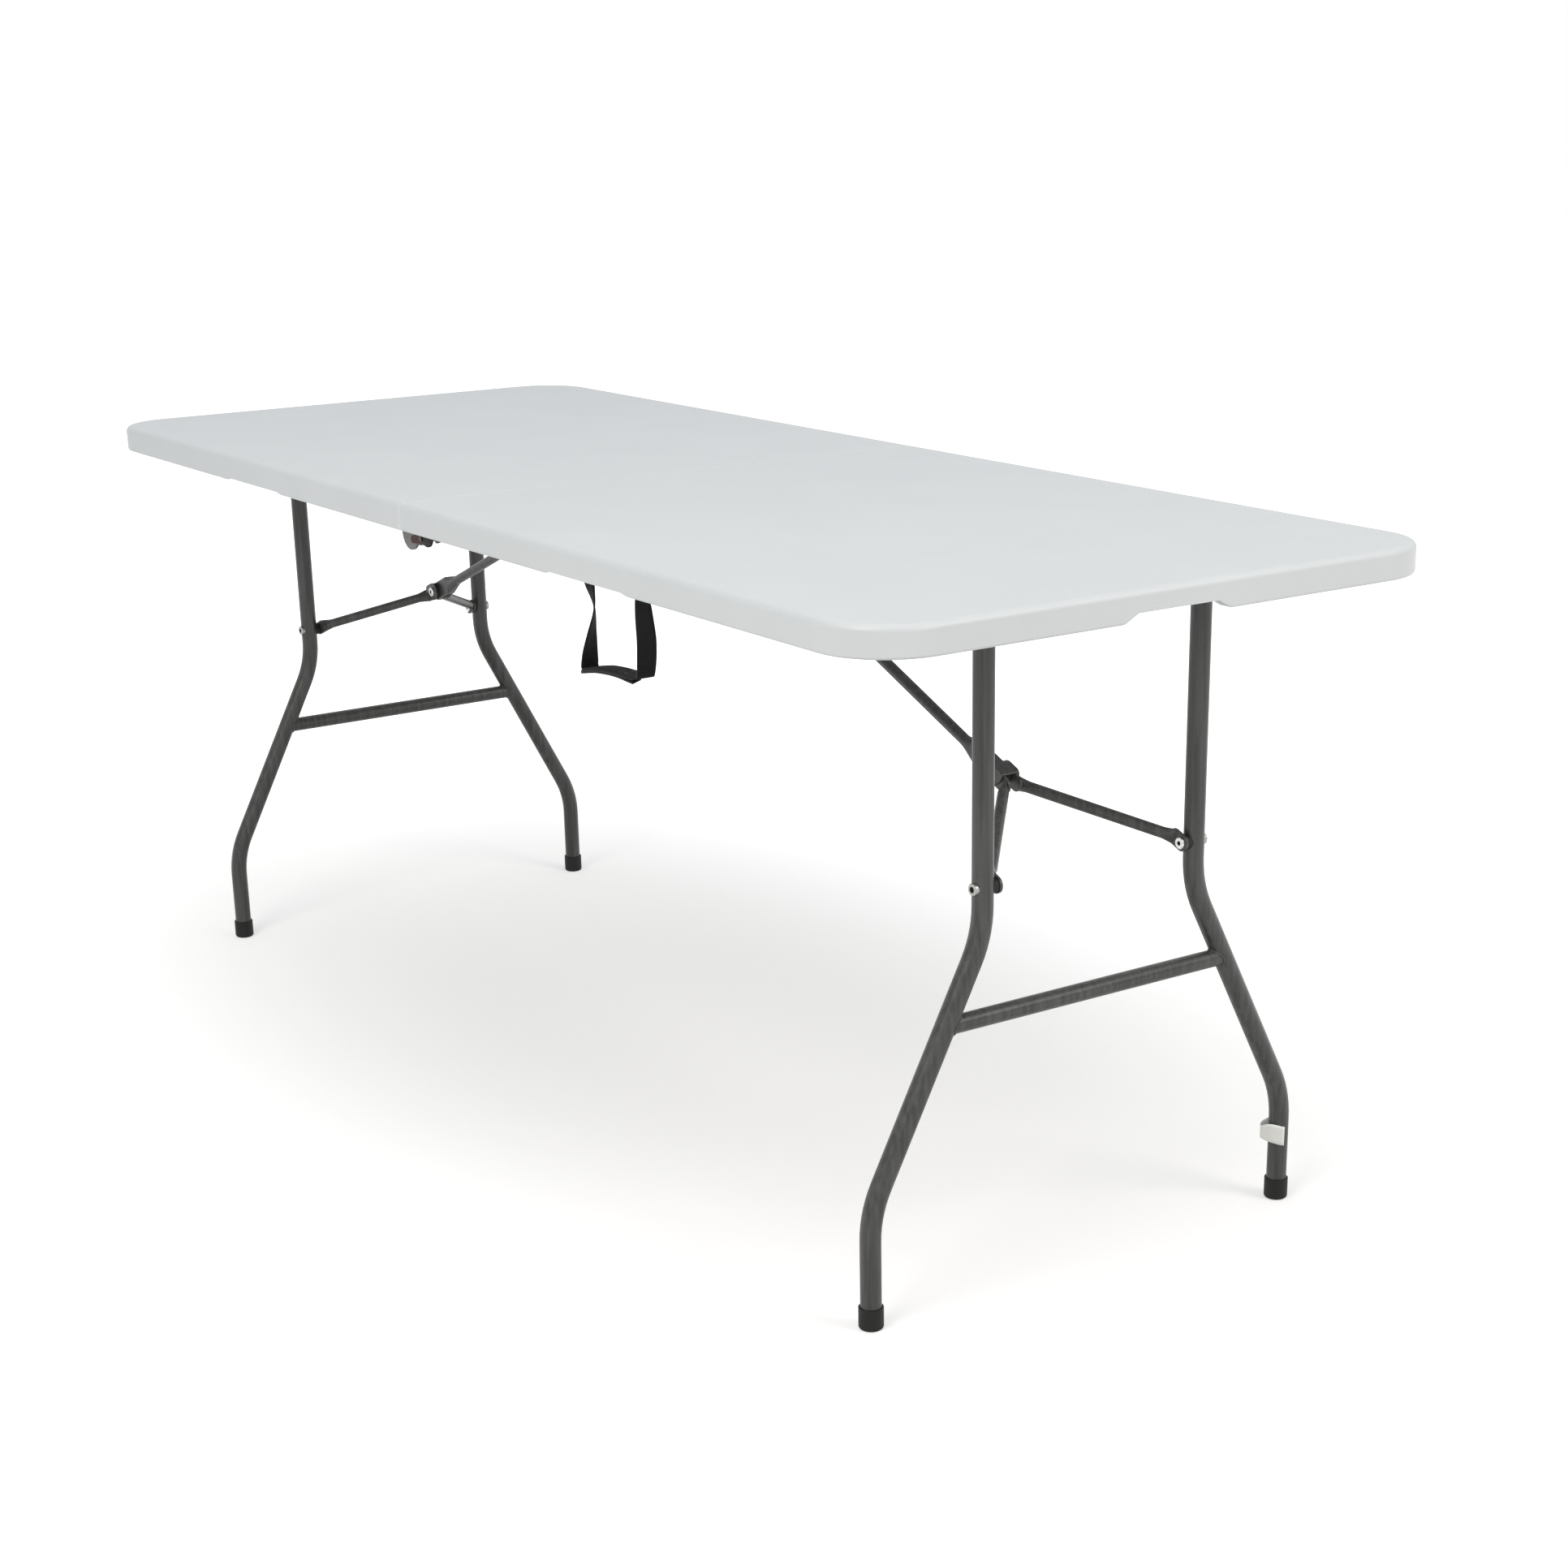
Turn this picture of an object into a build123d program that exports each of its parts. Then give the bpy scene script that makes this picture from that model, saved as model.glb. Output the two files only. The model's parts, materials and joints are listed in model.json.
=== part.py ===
from build123d import *
from math import atan2, cos, degrees, hypot, sin
import os

# A folding table that folds in half: two hollow moulded top halves on steel rails,
# wishbone legs that fold inwards, and a knuckle brace for each pair of legs.
# X runs along the table, Y across it and Z up, with the origin on the floor under
# the middle. Half a lies at +X and half b at -X. The near side is -Y, the far side +Y.

# Reach of a cutting shape beyond the face that it cuts
overcut = 1.0

# Top halves
table_length = 1830.0
table_width = 720.0
table_height = 740.0
rim_depth = 32.0
rim_width = 18.0
panel_thickness = 14.0
skin = 2.5
corner_radius = 78.0
top_edge_radius = 7.0
bottom_edge_radius = 3.0
seam_gap = 1.0
seam_edge_radius = 1.2

# Notches in the bottom edge of the rim, and the groove for the brace
side_notch_end_space = 495.0
side_notch_length = 144.0
side_notch_depth = 3.0
side_notch_slope = 14.0
end_notch_length = 100.0
end_notch_depth = 9.5
end_notch_slope = 18.0
groove_width = 33.0
groove_depth = 10.0
groove_lead = 20.0
hinge_notch_space = 5.0

# Tack-off dimples of the moulded underside
dimple_mouth_radius = 9.0
dimple_tip_radius = 5.0
dimple_depth = 9.0
dimple_pitch_x = 95.0
dimple_pitch_y = 80.0
dimple_first_x = 75.0
dimple_first_y = 70.0

# Side rails
rail_rim_gap = 8.0
rail_width = 18.0
rail_height = 15.0
rail_wall = 1.5
rail_seam_space = 1.5
rail_end_space = 75.0
rail_screw_count = 5
rail_screw_inset = 40.0

# Screws
screw_radius = 2.0
screw_length = 10.5
screw_head_radius = 4.0
screw_head_height = 2.5
screw_fit = 0.05

# Leg sets
leg_end_space = 121.0
leg_radius = 11.0
leg_wall = 1.2
leg_foot_inset = 83.0
leg_splay = 139.0
leg_upper_length = 317.5
leg_lower_bend_z = 125.0
leg_bend_radius = 120.0
leg_pivot_drop = 18.5
weld_fit = 0.02
crossbar_drop = 87.5
crossbar_radius = 9.5
crossbar_wall = 1.2
foot_radius = 13.0
foot_height = 24.0
foot_sole = 5.0
foot_edge_radius = 3.5
foot_fit = 0.05

# Leg pivot
pivot_tube_wall = 1.5
axle_radius = 6.0
axle_overhang = 3.0
axle_plug_length = 30.0
bush_wall = 1.5
bush_flange = 2.5
bush_flange_thickness = 1.5
pivot_fit = 0.05
side_play = 0.4
bracket_thickness = 3.0
bracket_rail_gap = 5.0
bracket_wall = 4.0
bracket_flange_length = 56.0
bracket_flange_width = 30.0
bracket_flange_thickness = 2.5
bracket_screw_spread = 36.0

# Brace
brace_pivot_x = 90.0
brace_pivot_rise = 2.0
leg_bolt_rise = 48.0
lower_arm_reach = 163.66
upper_arm_radius = 6.35
upper_arm_wall = 1.2
arm_root_thickness = 8.0
arm_root_radius = 7.5
arm_root_length = 16.0
arm_root_taper = 22.0
fishtail_width = 12.0
fishtail_height = 24.0
fishtail_length = 34.0
fishtail_taper = 28.0
fishtail_wall = 2.0
fishtail_web = 2.5
saddle_thickness = 2.4
saddle_reach = 18.0
saddle_nose_radius = 6.0
saddle_space = 3.0
knuckle_rivet_radius = 3.0
rivet_head_radius = 6.5
rivet_head_height = 2.5
rivet_dimple_radius = 2.5
rivet_dimple_depth = 1.2
tab_thickness = 3.0
tab_radius = 9.0
tab_gap = 0.3
tab_length = 11.0
lower_arm_radius = 6.2
lower_arm_wall = 1.0
lower_arm_taper = 16.0
leg_rivet_radius = 3.0
spacer_radius = 8.0
spacer_thickness = 4.0
brace_pin_radius = 4.0
brace_pin_head_radius = 6.0
brace_ear_thickness = 2.5
brace_ear_drop = 10.0
brace_ear_gap = 0.3
brace_ear_rise = 7.0
brace_flange_length = 30.0
brace_flange_reach = 36.0
brace_flange_thickness = 2.5
brace_screw_y = 26.0

# Centre hinge
fold_axis_drop = 13.0
hinge_plate_thickness = 3.0
hinge_plate_length = 58.0
hinge_plate_height = 14.0
hinge_ear_radius = 6.0
outer_lobe_x = 24.0
outer_lobe_radius = 20.0
outer_lobe_rise = 6.0
inner_lobe_x = 24.0
inner_lobe_radius = 10.0
inner_lobe_rise = 7.5
hinge_pin_radius = 3.0
hinge_pin_head_radius = 4.5
hinge_pin_head_height = 1.0

# Latch
latch_thickness = 2.6
latch_pivot_x = 13.0
latch_pivot_rise = 4.0
latch_pivot_radius = 5.5
latch_nose_x = -9.0
latch_nose_rise = 0.5
latch_nose_radius = 4.5
latch_thumb_x = 27.0
latch_thumb_rise = 8.5
latch_thumb_radius = 12.5
latch_pin_radius = 2.0
latch_collar_radius = 4.0
latch_head_radius = 3.2
latch_head_height = 1.0

# Carry handle of webbing
handle_shift = 19.75
handle_spread = 106.5
strap_width = 20.0
strap_thickness = 2.0
strap_lift = 0.3
strap_hinge_drop = 1.5
strap_tab_top_drop = 2.0
handle_drop = 97.5
strap_flat_length = 16.0
strap_twist_length = 30.0
handle_corner_radius = 8.0
handle_plate_height = 12.0
handle_plate_thickness = 1.5
handle_screw_length = 9.5
handle_screw_head_height = 2.0

# Blank wrap tag on one leg
tag_z = 76.0
tag_height = 28.0
tag_thickness = 0.6
tag_fit = 0.1
tag_flag_length = 27.0

# Derived heights and planes
rim_bottom = table_height - rim_depth
panel_under = table_height - panel_thickness
fold_axis_z = rim_bottom - fold_axis_drop
seam_wall_x = seam_gap / 2 + rim_width
side_notch_x = table_length / 2 - side_notch_end_space
rail_start = seam_wall_x + rail_seam_space
rail_end = table_length / 2 - rail_end_space
rail_outer_y = table_width / 2 - rim_width - rail_rim_gap
rail_inner_y = rail_outer_y - rail_width
rail_y = (rail_inner_y + rail_outer_y) / 2
hinge_notch_width = rail_width + 2 * hinge_plate_thickness + 2 * hinge_notch_space
dimple_rows = int((rail_end - dimple_first_x) / dimple_pitch_x) + 1
dimple_columns = int((rail_inner_y - dimple_mouth_radius - dimple_first_y) / dimple_pitch_y) + 1
screw_seat_rail = panel_under - rail_wall
screw_tip = screw_seat_rail + screw_length
bracket_outer_y = rail_inner_y - bracket_rail_gap
bracket_inner_y = bracket_outer_y - bracket_thickness
bush_radius = axle_radius + pivot_fit + bush_wall
pivot_tube_end = bracket_inner_y - bush_flange_thickness - side_play
leg_x = table_length / 2 - leg_end_space
leg_foot_y = table_width / 2 - leg_foot_inset
leg_upper_y = leg_foot_y - leg_splay
leg_pivot_z = panel_under - leg_pivot_drop
leg_upper_bend_z = leg_pivot_z - leg_upper_length
crossbar_z = leg_upper_bend_z - crossbar_drop
leg_bolt_z = leg_upper_bend_z + leg_bolt_rise
brace_pivot_z = panel_under + brace_pivot_rise
leg_inner_y = leg_upper_y - leg_radius
spacer_inner_y = leg_inner_y - spacer_thickness
tab_outer_y = spacer_inner_y - tab_gap
brace_slope = degrees(atan2(brace_pivot_z - leg_bolt_z, leg_x - brace_pivot_x))
brace_reach = hypot(brace_pivot_z - leg_bolt_z, leg_x - brace_pivot_x)
upper_arm_reach = brace_reach - lower_arm_reach
saddle_inner_y = fishtail_width / 2 + 2 * tab_gap + tab_thickness
saddle_outer_y = saddle_inner_y + saddle_thickness
knuckle_tab_length = saddle_reach + saddle_space
groove_start = brace_pivot_x - groove_lead
groove_end = brace_pivot_x + upper_arm_reach + fishtail_height / 2 + groove_lead / 2
handle_x = side_notch_x + handle_shift
strap_y = -(rail_outer_y + strap_lift + strap_thickness / 2)
strap_hinge_z = rim_bottom - strap_hinge_drop
strap_tab_low = strap_hinge_z + strap_thickness / 2 + strap_lift
latch_inner_y = -(rail_outer_y + hinge_plate_thickness + 2 * side_play + hinge_pin_head_height)
latch_outer_y = latch_inner_y - latch_thickness
latch_pivot = (latch_pivot_x, fold_axis_z + latch_pivot_rise)
strap_xs = [handle_x - handle_spread / 2, handle_x + handle_spread / 2]


def half_outline(inset):
    """Plan of one top half, drawn in by inset on every side."""
    start = seam_gap / 2 + inset
    end = table_length / 2 - inset
    plan = Pos((start + end) / 2, 0) * Rectangle(end - start, table_width - 2 * inset)
    return fillet(plan.vertices().group_by(Axis.X)[-1], corner_radius - inset)


def outer_edges(solid, level):
    """Edges of the rim at one height, without the edge along the seam."""
    ring = solid.edges().filter_by(lambda edge: abs(edge.center().Z - level) < skin / 2)
    return ring.filter_by(lambda edge: edge.center().X > seam_gap)


def trapezoid(base, top, low, high):
    """Sloped notch profile, wide at its open lower side."""
    points = [(-base / 2, low), (-top / 2, high), (top / 2, high), (base / 2, low)]
    return make_face(Polyline(*points, close=True))


def notch_profile(length, depth, slope, grow):
    """Profile of a rim notch, grown by a skin where a hollow goes round it."""
    low = rim_bottom - overcut
    run = slope * (depth + overcut) / depth
    return trapezoid(length + 2 * run + 2 * grow, length + 2 * grow, low, rim_bottom + depth + grow)


def underside_recess(grow):
    """The space inside the rim, below the panel."""
    plan = half_outline(rim_width - grow)
    inner = plan.vertices().group_by(Axis.X)[0]
    plan = fillet(inner, bottom_edge_radius + grow)
    height = panel_under - rim_bottom + overcut + grow
    return extrude(Pos(0, 0, rim_bottom - overcut) * plan, amount=height)


def brace_groove(grow):
    """Groove in the panel that takes the folded brace."""
    length = groove_end - groove_start + 2 * grow
    height = groove_depth + overcut + grow
    middle = Pos((groove_start + groove_end) / 2, 0, panel_under - overcut)
    plan = RectangleRounded(length, groove_width + 2 * grow, groove_width / 3)
    return extrude(middle * plan, amount=height)


def hinge_notches(grow):
    """Openings in the seam wall through which the rails reach the hinge."""
    end = seam_wall_x + bottom_edge_radius + grow
    length = end + grow + overcut
    height = panel_under - rim_bottom + overcut + grow
    tools = []
    for side in (-1, 1):
        place = Pos(end, side * rail_y, rim_bottom - overcut)
        notch = Box(length, hinge_notch_width + 2 * grow, height, align=(Align.MAX, Align.CENTER, Align.MIN))
        tools.append(place * notch)
    return tools


def rim_notches(grow):
    """Shallow notches in both long sides and a deeper one in the end."""
    reach = rim_width + 2 * grow + 2 * overcut
    side_face = Plane.XZ * Pos(side_notch_x, 0) * notch_profile(
        side_notch_length, side_notch_depth, side_notch_slope, grow)
    end_face = Plane.YZ * notch_profile(end_notch_length, end_notch_depth, end_notch_slope, grow)
    end_plane = table_length / 2 + overcut + grow
    side_plane = table_width / 2 + overcut + grow
    tools = [Pos(end_plane, 0, 0) * extrude(end_face, amount=-reach)]
    tools.append(Pos(0, side_plane, 0) * extrude(side_face, amount=reach))
    tools.append(Pos(0, -side_plane, 0) * extrude(side_face, amount=-reach))
    return tools


def dimples(grow):
    """Cone-shaped tack-offs, where the lower skin is pressed up to the upper one."""
    tools = []
    for row in range(dimple_rows):
        for column in range(dimple_columns):
            for side in (-1, 1):
                x = dimple_first_x + row * dimple_pitch_x
                y = side * (dimple_first_y + column * dimple_pitch_y)
                cone = Cone(dimple_mouth_radius + grow, dimple_tip_radius + grow, dimple_depth + grow,
                            align=(Align.CENTER, Align.CENTER, Align.MIN))
                tools.append(Pos(x, y, panel_under) * cone)
    return tools


def screw_places():
    """Places of the screws that go up into the panel, with the height of each head's seat."""
    places = []
    run = (rail_end - rail_start - 2 * rail_screw_inset) / (rail_screw_count - 1)
    for side in (-1, 1):
        for index in range(rail_screw_count):
            x = rail_start + rail_screw_inset + index * run
            places.append((x, side * rail_y, screw_seat_rail))
        for turn in (-1, 1):
            x = leg_x + turn * bracket_screw_spread / 2
            y = side * (bracket_inner_y - bracket_flange_width / 2)
            places.append((x, y, panel_under - bracket_flange_thickness))
        places.append((brace_pivot_x, side * brace_screw_y, panel_under - brace_flange_thickness))
    return places


def screw_holes(grow):
    """Pilot holes in the panel, or the bosses round them."""
    height = screw_tip - panel_under + screw_fit + grow
    hole = Cylinder(screw_radius + screw_fit + grow, height, align=(Align.CENTER, Align.CENTER, Align.MIN))
    return [Pos(x, y, panel_under) * hole for x, y, _ in screw_places()]


def make_top():
    """One hollow moulded half of the top, with its rim, recess, groove and dimples."""
    body = extrude(Pos(0, 0, rim_bottom) * half_outline(0), amount=rim_depth)
    body = fillet(outer_edges(body, table_height), top_edge_radius)
    body = fillet(outer_edges(body, rim_bottom), bottom_edge_radius)
    seam = body.faces().sort_by(Axis.X)[0]
    body = fillet(seam.edges(), seam_edge_radius)
    hollow = extrude(Pos(0, 0, rim_bottom + skin) * half_outline(skin), amount=rim_depth - 2 * skin)
    for grow in (0, skin):
        tools = [underside_recess(grow), brace_groove(grow)]
        tools += hinge_notches(grow) + rim_notches(grow) + dimples(grow) + screw_holes(grow)
        if grow:
            hollow = hollow - tools
        else:
            body = body - tools
    return body - hollow


def make_rail(side):
    """Steel channel under one long edge, open downwards."""
    length = rail_end - rail_start
    seat = (Align.MIN, Align.CENTER, Align.MAX)
    rail = Pos(rail_start, side * rail_y, panel_under) * Box(length, rail_width, rail_height, align=seat)
    bore = Box(length, rail_width - 2 * rail_wall, rail_height, align=seat)
    rail = rail - Pos(rail_start, side * rail_y, panel_under - rail_wall) * bore
    holes = []
    for x, y, seat in screw_places():
        if y * side > rail_inner_y:
            holes.append(Pos(x, y, seat) * Cylinder(screw_radius + screw_fit, 4 * rail_wall))
    return rail - holes


def make_screws():
    """All screws that hold the steel parts of one half to its panel."""
    screws = []
    for x, y, seat in screw_places():
        shank = Cylinder(screw_radius, screw_tip - seat, align=(Align.CENTER, Align.CENTER, Align.MIN))
        head = Cylinder(screw_head_radius, screw_head_height, align=(Align.CENTER, Align.CENTER, Align.MAX))
        head = fillet(head.edges().group_by(Axis.Z)[0], screw_head_height / 2)
        screws.append(Pos(x, y, seat) * (head + shank))
    return screws


def y_cylinder(radius, y_from, y_to, x=0.0, z=0.0):
    """Round bar along Y between two places."""
    bar = extrude(Plane.XZ * Circle(radius), amount=-(y_to - y_from))
    return Pos(x, y_from, z) * bar


def plate_y(profile, y_from, y_to):
    """Flat plate, drawn in X and Z and filled between two places along Y."""
    return Pos(0, y_from, 0) * extrude(Plane.XZ * profile, amount=-(y_to - y_from))


def hull_of(*shapes):
    """Outline stretched round several flat shapes."""
    edges = ShapeList()
    for shape in shapes:
        edges += shape.edges()
    return make_hull(edges)


def make_leg_bracket():
    """Bracket that carries the leg pivot, with a flange screwed to the panel, on the far side."""
    ear_radius = bush_radius + bracket_wall
    foot = Pos(leg_x, panel_under - bracket_flange_thickness / 2) * Rectangle(
        bracket_flange_length * 0.75, bracket_flange_thickness)
    ear_profile = hull_of(foot, Pos(leg_x, leg_pivot_z) * Circle(ear_radius))
    ear = plate_y(ear_profile, bracket_inner_y, bracket_outer_y)
    flange = Pos(leg_x, bracket_inner_y, panel_under) * Box(
        bracket_flange_length, bracket_flange_width, bracket_flange_thickness,
        align=(Align.CENTER, Align.MAX, Align.MAX))
    bush_hole = y_cylinder(
        bush_radius + pivot_fit, bracket_inner_y - overcut, bracket_outer_y + overcut, leg_x, leg_pivot_z)
    bracket = ear + flange - bush_hole
    screw_y = bracket_inner_y - bracket_flange_width / 2
    for turn in (-1, 1):
        place = Pos(leg_x + turn * bracket_screw_spread / 2, screw_y, panel_under)
        bracket = bracket - place * Cylinder(screw_radius + screw_fit, 4 * bracket_flange_thickness)
    return bracket


def make_leg_bush():
    """Flanged nylon bush in the far leg bracket."""
    bush = y_cylinder(bush_radius, bracket_inner_y, bracket_outer_y, leg_x, leg_pivot_z)
    bush += y_cylinder(bush_radius + bush_flange, bracket_inner_y - bush_flange_thickness, bracket_inner_y,
                       leg_x, leg_pivot_z)
    return bush - y_cylinder(axle_radius + pivot_fit, 0, table_width, leg_x, leg_pivot_z)


def make_brace_bracket():
    """One far-side angle plate that carries the brace pin in the groove."""
    inner = arm_root_thickness / 2 + brace_ear_gap
    outer = inner + brace_ear_thickness
    crown = Pos(brace_pivot_x, brace_pivot_z) * Circle(brace_ear_rise)
    base = Rectangle(brace_flange_length / 2, brace_ear_gap)
    base = Pos(brace_pivot_x, panel_under - brace_ear_drop) * base
    ear = plate_y(hull_of(crown, base), inner, outer)
    flange = Pos(brace_pivot_x, inner, panel_under) * Box(
        brace_flange_length, brace_flange_reach - inner, brace_flange_thickness,
        align=(Align.CENTER, Align.MIN, Align.MAX))
    pivot = (brace_pivot_x, brace_pivot_z)
    pin_hole = y_cylinder(brace_pin_radius + weld_fit, inner - overcut, outer + overcut, *pivot)
    bracket = ear + flange - pin_hole
    head_end = outer + rivet_head_height + brace_ear_gap
    bracket = bracket - y_cylinder(brace_pin_head_radius + brace_ear_gap, outer, head_end, *pivot)
    place = Pos(brace_pivot_x, brace_screw_y, panel_under)
    return bracket - place * Cylinder(screw_radius + screw_fit, 4 * brace_flange_thickness)


def make_brace_pin():
    """Headed pin on which the upper arm of the brace swings."""
    ear = arm_root_thickness / 2 + brace_ear_gap + brace_ear_thickness
    pin = y_cylinder(brace_pin_radius, -ear, ear, brace_pivot_x, brace_pivot_z)
    for side in (-1, 1):
        edge = side * (ear + rivet_head_height)
        low, high = sorted((side * ear, edge))
        pin += y_cylinder(brace_pin_head_radius, low, high, brace_pivot_x, brace_pivot_z)
    return pin


def leg_path(low):
    """Centre line of the far leg, from the pivot down to a given height."""
    points = [(leg_upper_y, leg_pivot_z), (leg_upper_y, leg_upper_bend_z),
              (leg_foot_y, leg_lower_bend_z), (leg_foot_y, low)]
    return FilletPolyline(*[(leg_x, y, z) for y, z in points], radius=leg_bend_radius)


def swept_leg(radius, low):
    """Round bar of a given radius along the far leg."""
    start = Plane((leg_x, leg_upper_y, leg_pivot_z), x_dir=(1, 0, 0), z_dir=(0, 0, -1))
    return sweep(start * Circle(radius), path=leg_path(low))


def make_leg():
    """Bent leg tube on the far side, saddled to the pivot tube at its top."""
    leg = swept_leg(leg_radius, foot_sole) - swept_leg(leg_radius - leg_wall, foot_sole - overcut)
    leg = leg - y_cylinder(leg_radius + weld_fit, 0, leg_foot_y, leg_x, leg_pivot_z)
    above = Pos(leg_x, leg_upper_y, leg_pivot_z) * Box(
        4 * leg_radius, 4 * leg_radius, 4 * leg_radius, align=(Align.CENTER, Align.CENTER, Align.MIN))
    leg = leg - above
    return leg - y_cylinder(leg_rivet_radius + pivot_fit, 0, leg_foot_y, leg_x, leg_bolt_z)


def make_crossbar(leg_bars):
    """Crossbar between the two legs, saddled to both."""
    reach = leg_foot_y
    bar = y_cylinder(crossbar_radius, -reach, reach, leg_x, crossbar_z)
    bar = bar - y_cylinder(crossbar_radius - crossbar_wall, -reach, reach, leg_x, crossbar_z)
    pieces = (bar - leg_bars).solids()
    return min(pieces, key=lambda piece: abs(piece.center().Y))


def make_foot():
    """Black foot cap on the far leg."""
    foot = Pos(leg_x, leg_foot_y, 0) * Cylinder(
        foot_radius, foot_height, align=(Align.CENTER, Align.CENTER, Align.MIN))
    foot = fillet(foot.edges().group_by(Axis.Z)[0], foot_edge_radius)
    foot = fillet(foot.edges().group_by(Axis.Z)[-1], foot_fit * 10)
    bore = Pos(leg_x, leg_foot_y, foot_sole) * Cylinder(
        leg_radius + foot_fit, foot_height, align=(Align.CENTER, Align.CENTER, Align.MIN))
    return foot - bore


def make_pivot_tube():
    """Cross tube at the head of a leg set."""
    tube = y_cylinder(leg_radius, -pivot_tube_end, pivot_tube_end, leg_x, leg_pivot_z)
    return tube - y_cylinder(leg_radius - pivot_tube_wall, -table_width, table_width, leg_x, leg_pivot_z)


def make_axle():
    """Stub axle plugged into the far end of the pivot tube."""
    plug_radius = leg_radius - pivot_tube_wall - pivot_fit
    plug_start = pivot_tube_end - axle_plug_length
    plug = y_cylinder(plug_radius, plug_start, pivot_tube_end, leg_x, leg_pivot_z)
    stub = y_cylinder(axle_radius, pivot_tube_end, bracket_outer_y + axle_overhang, leg_x, leg_pivot_z)
    return plug + stub


def make_spacer():
    """Black spacer between the far leg and the lower arm of the brace."""
    spacer = y_cylinder(spacer_radius, spacer_inner_y, leg_upper_y, leg_x, leg_bolt_z)
    post = Pos(leg_x, leg_upper_y, leg_bolt_z) * Cylinder(leg_radius + weld_fit, 4 * spacer_radius)
    spacer = spacer - post - y_cylinder(leg_rivet_radius + pivot_fit, 0, table_width, leg_x, leg_bolt_z)
    return min(spacer.solids(), key=lambda piece: piece.center().Y)


def make_leg_rivet():
    """Rivet through the far leg, with its outer head saddled to the tube."""
    outer = leg_upper_y + leg_radius
    shank = y_cylinder(leg_rivet_radius, spacer_inner_y, outer + rivet_head_height / 2, leg_x, leg_bolt_z)
    head = y_cylinder(rivet_head_radius, leg_upper_y, outer + rivet_head_height, leg_x, leg_bolt_z)
    head = fillet(head.edges().group_by(Axis.Y)[-1], rivet_head_height / 2)
    post = Pos(leg_x, leg_upper_y, leg_bolt_z) * Cylinder(leg_radius + weld_fit, 4 * rivet_head_radius)
    return shank + (head - post)


def brace_frame():
    """Frame of the unfolded brace: its X runs from the brace pin down to the leg rivet."""
    return Pos(brace_pivot_x, 0, brace_pivot_z) * Rot(0, brace_slope, 0)


def slot_plate(start, length, radius, y_from, y_to):
    """Flat plate with round ends, lying along X."""
    return plate_y(Pos(start + length / 2, 0) * SlotCenterToCenter(length, 2 * radius), y_from, y_to)


def make_saddle():
    """Saddle over the end of the fish-tail: a web on top and a cheek outside each lower arm."""
    tip = upper_arm_reach + saddle_reach - saddle_nose_radius
    nose = Pos(tip, fishtail_height / 2 - saddle_nose_radius) * Circle(saddle_nose_radius)
    profile = hull_of(Pos(upper_arm_reach, 0) * Circle(fishtail_height / 2), nose)
    saddle = plate_y(profile, -saddle_outer_y, saddle_outer_y)
    room = Box(4 * saddle_reach, 2 * saddle_inner_y, 2 * fishtail_height,
               align=(Align.CENTER, Align.CENTER, Align.MAX))
    return saddle - Pos(upper_arm_reach, 0, fishtail_height / 2 - fishtail_web) * room


def make_upper_arm():
    """Upper arm of the brace: a tube with a flattened root and a saddled fish-tail end."""
    tube_start = arm_root_length + arm_root_taper
    tube_end = upper_arm_reach - fishtail_length - fishtail_taper
    half = arm_root_thickness / 2
    strip = Rectangle(arm_root_length, 2 * arm_root_radius)
    eye = Circle(arm_root_radius) + Pos(arm_root_length / 2, 0) * strip
    root_end = Plane.YZ.offset(arm_root_length) * Rectangle(arm_root_thickness, 2 * arm_root_radius)
    root = plate_y(eye, -half, half)
    root += loft([root_end, Plane.YZ.offset(tube_start) * Circle(upper_arm_radius)])
    tube_face = Circle(upper_arm_radius) - Circle(upper_arm_radius - upper_arm_wall)
    tube = extrude(Plane.YZ.offset(tube_start) * tube_face, amount=tube_end - tube_start)
    flare_end = upper_arm_reach - fishtail_length
    flare_mouth = RectangleRounded(fishtail_width, fishtail_height, fishtail_wall)
    flare_root = Plane.YZ.offset(tube_end) * Circle(upper_arm_radius)
    flare = loft([flare_root, Plane.YZ.offset(flare_end) * flare_mouth])
    tail = extrude(Plane.YZ.offset(flare_end) * flare_mouth, amount=fishtail_length)
    cheek = fishtail_width / 2
    tail += plate_y(Pos(upper_arm_reach, 0) * Circle(fishtail_height / 2), -cheek, cheek)
    slot = Pos(flare_end + fishtail_wall, 0, fishtail_height / 2 - fishtail_web) * Box(
        fishtail_length + fishtail_height, fishtail_width - 2 * fishtail_wall, 2 * fishtail_height,
        align=(Align.MIN, Align.CENTER, Align.MAX))
    arm = root + tube + flare + (tail - slot) + make_saddle()
    arm = arm - y_cylinder(brace_pin_radius + pivot_fit, -table_width / 2, table_width / 2)
    knuckle_hole = knuckle_rivet_radius + weld_fit
    return arm - y_cylinder(knuckle_hole, -table_width / 2, table_width / 2, upper_arm_reach)


def make_knuckle_rivet():
    """Rivet of the knuckle, through the saddle, the fish-tail and both lower arms."""
    edge = saddle_outer_y
    rivet = y_cylinder(knuckle_rivet_radius, -edge, edge, upper_arm_reach)
    for side in (-1, 1):
        low, high = sorted((side * edge, side * (edge + rivet_head_height)))
        head = y_cylinder(rivet_head_radius, low, high, upper_arm_reach)
        rim = head.edges().group_by(Axis.Y)[-1 if side > 0 else 0]
        rivet += fillet(rim, rivet_head_height / 2)
        tip = side * (edge + rivet_head_height)
        low, high = sorted((tip - side * rivet_dimple_depth, tip + side * overcut))
        rivet = rivet - y_cylinder(rivet_dimple_radius, low, high, upper_arm_reach)
    return rivet


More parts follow.
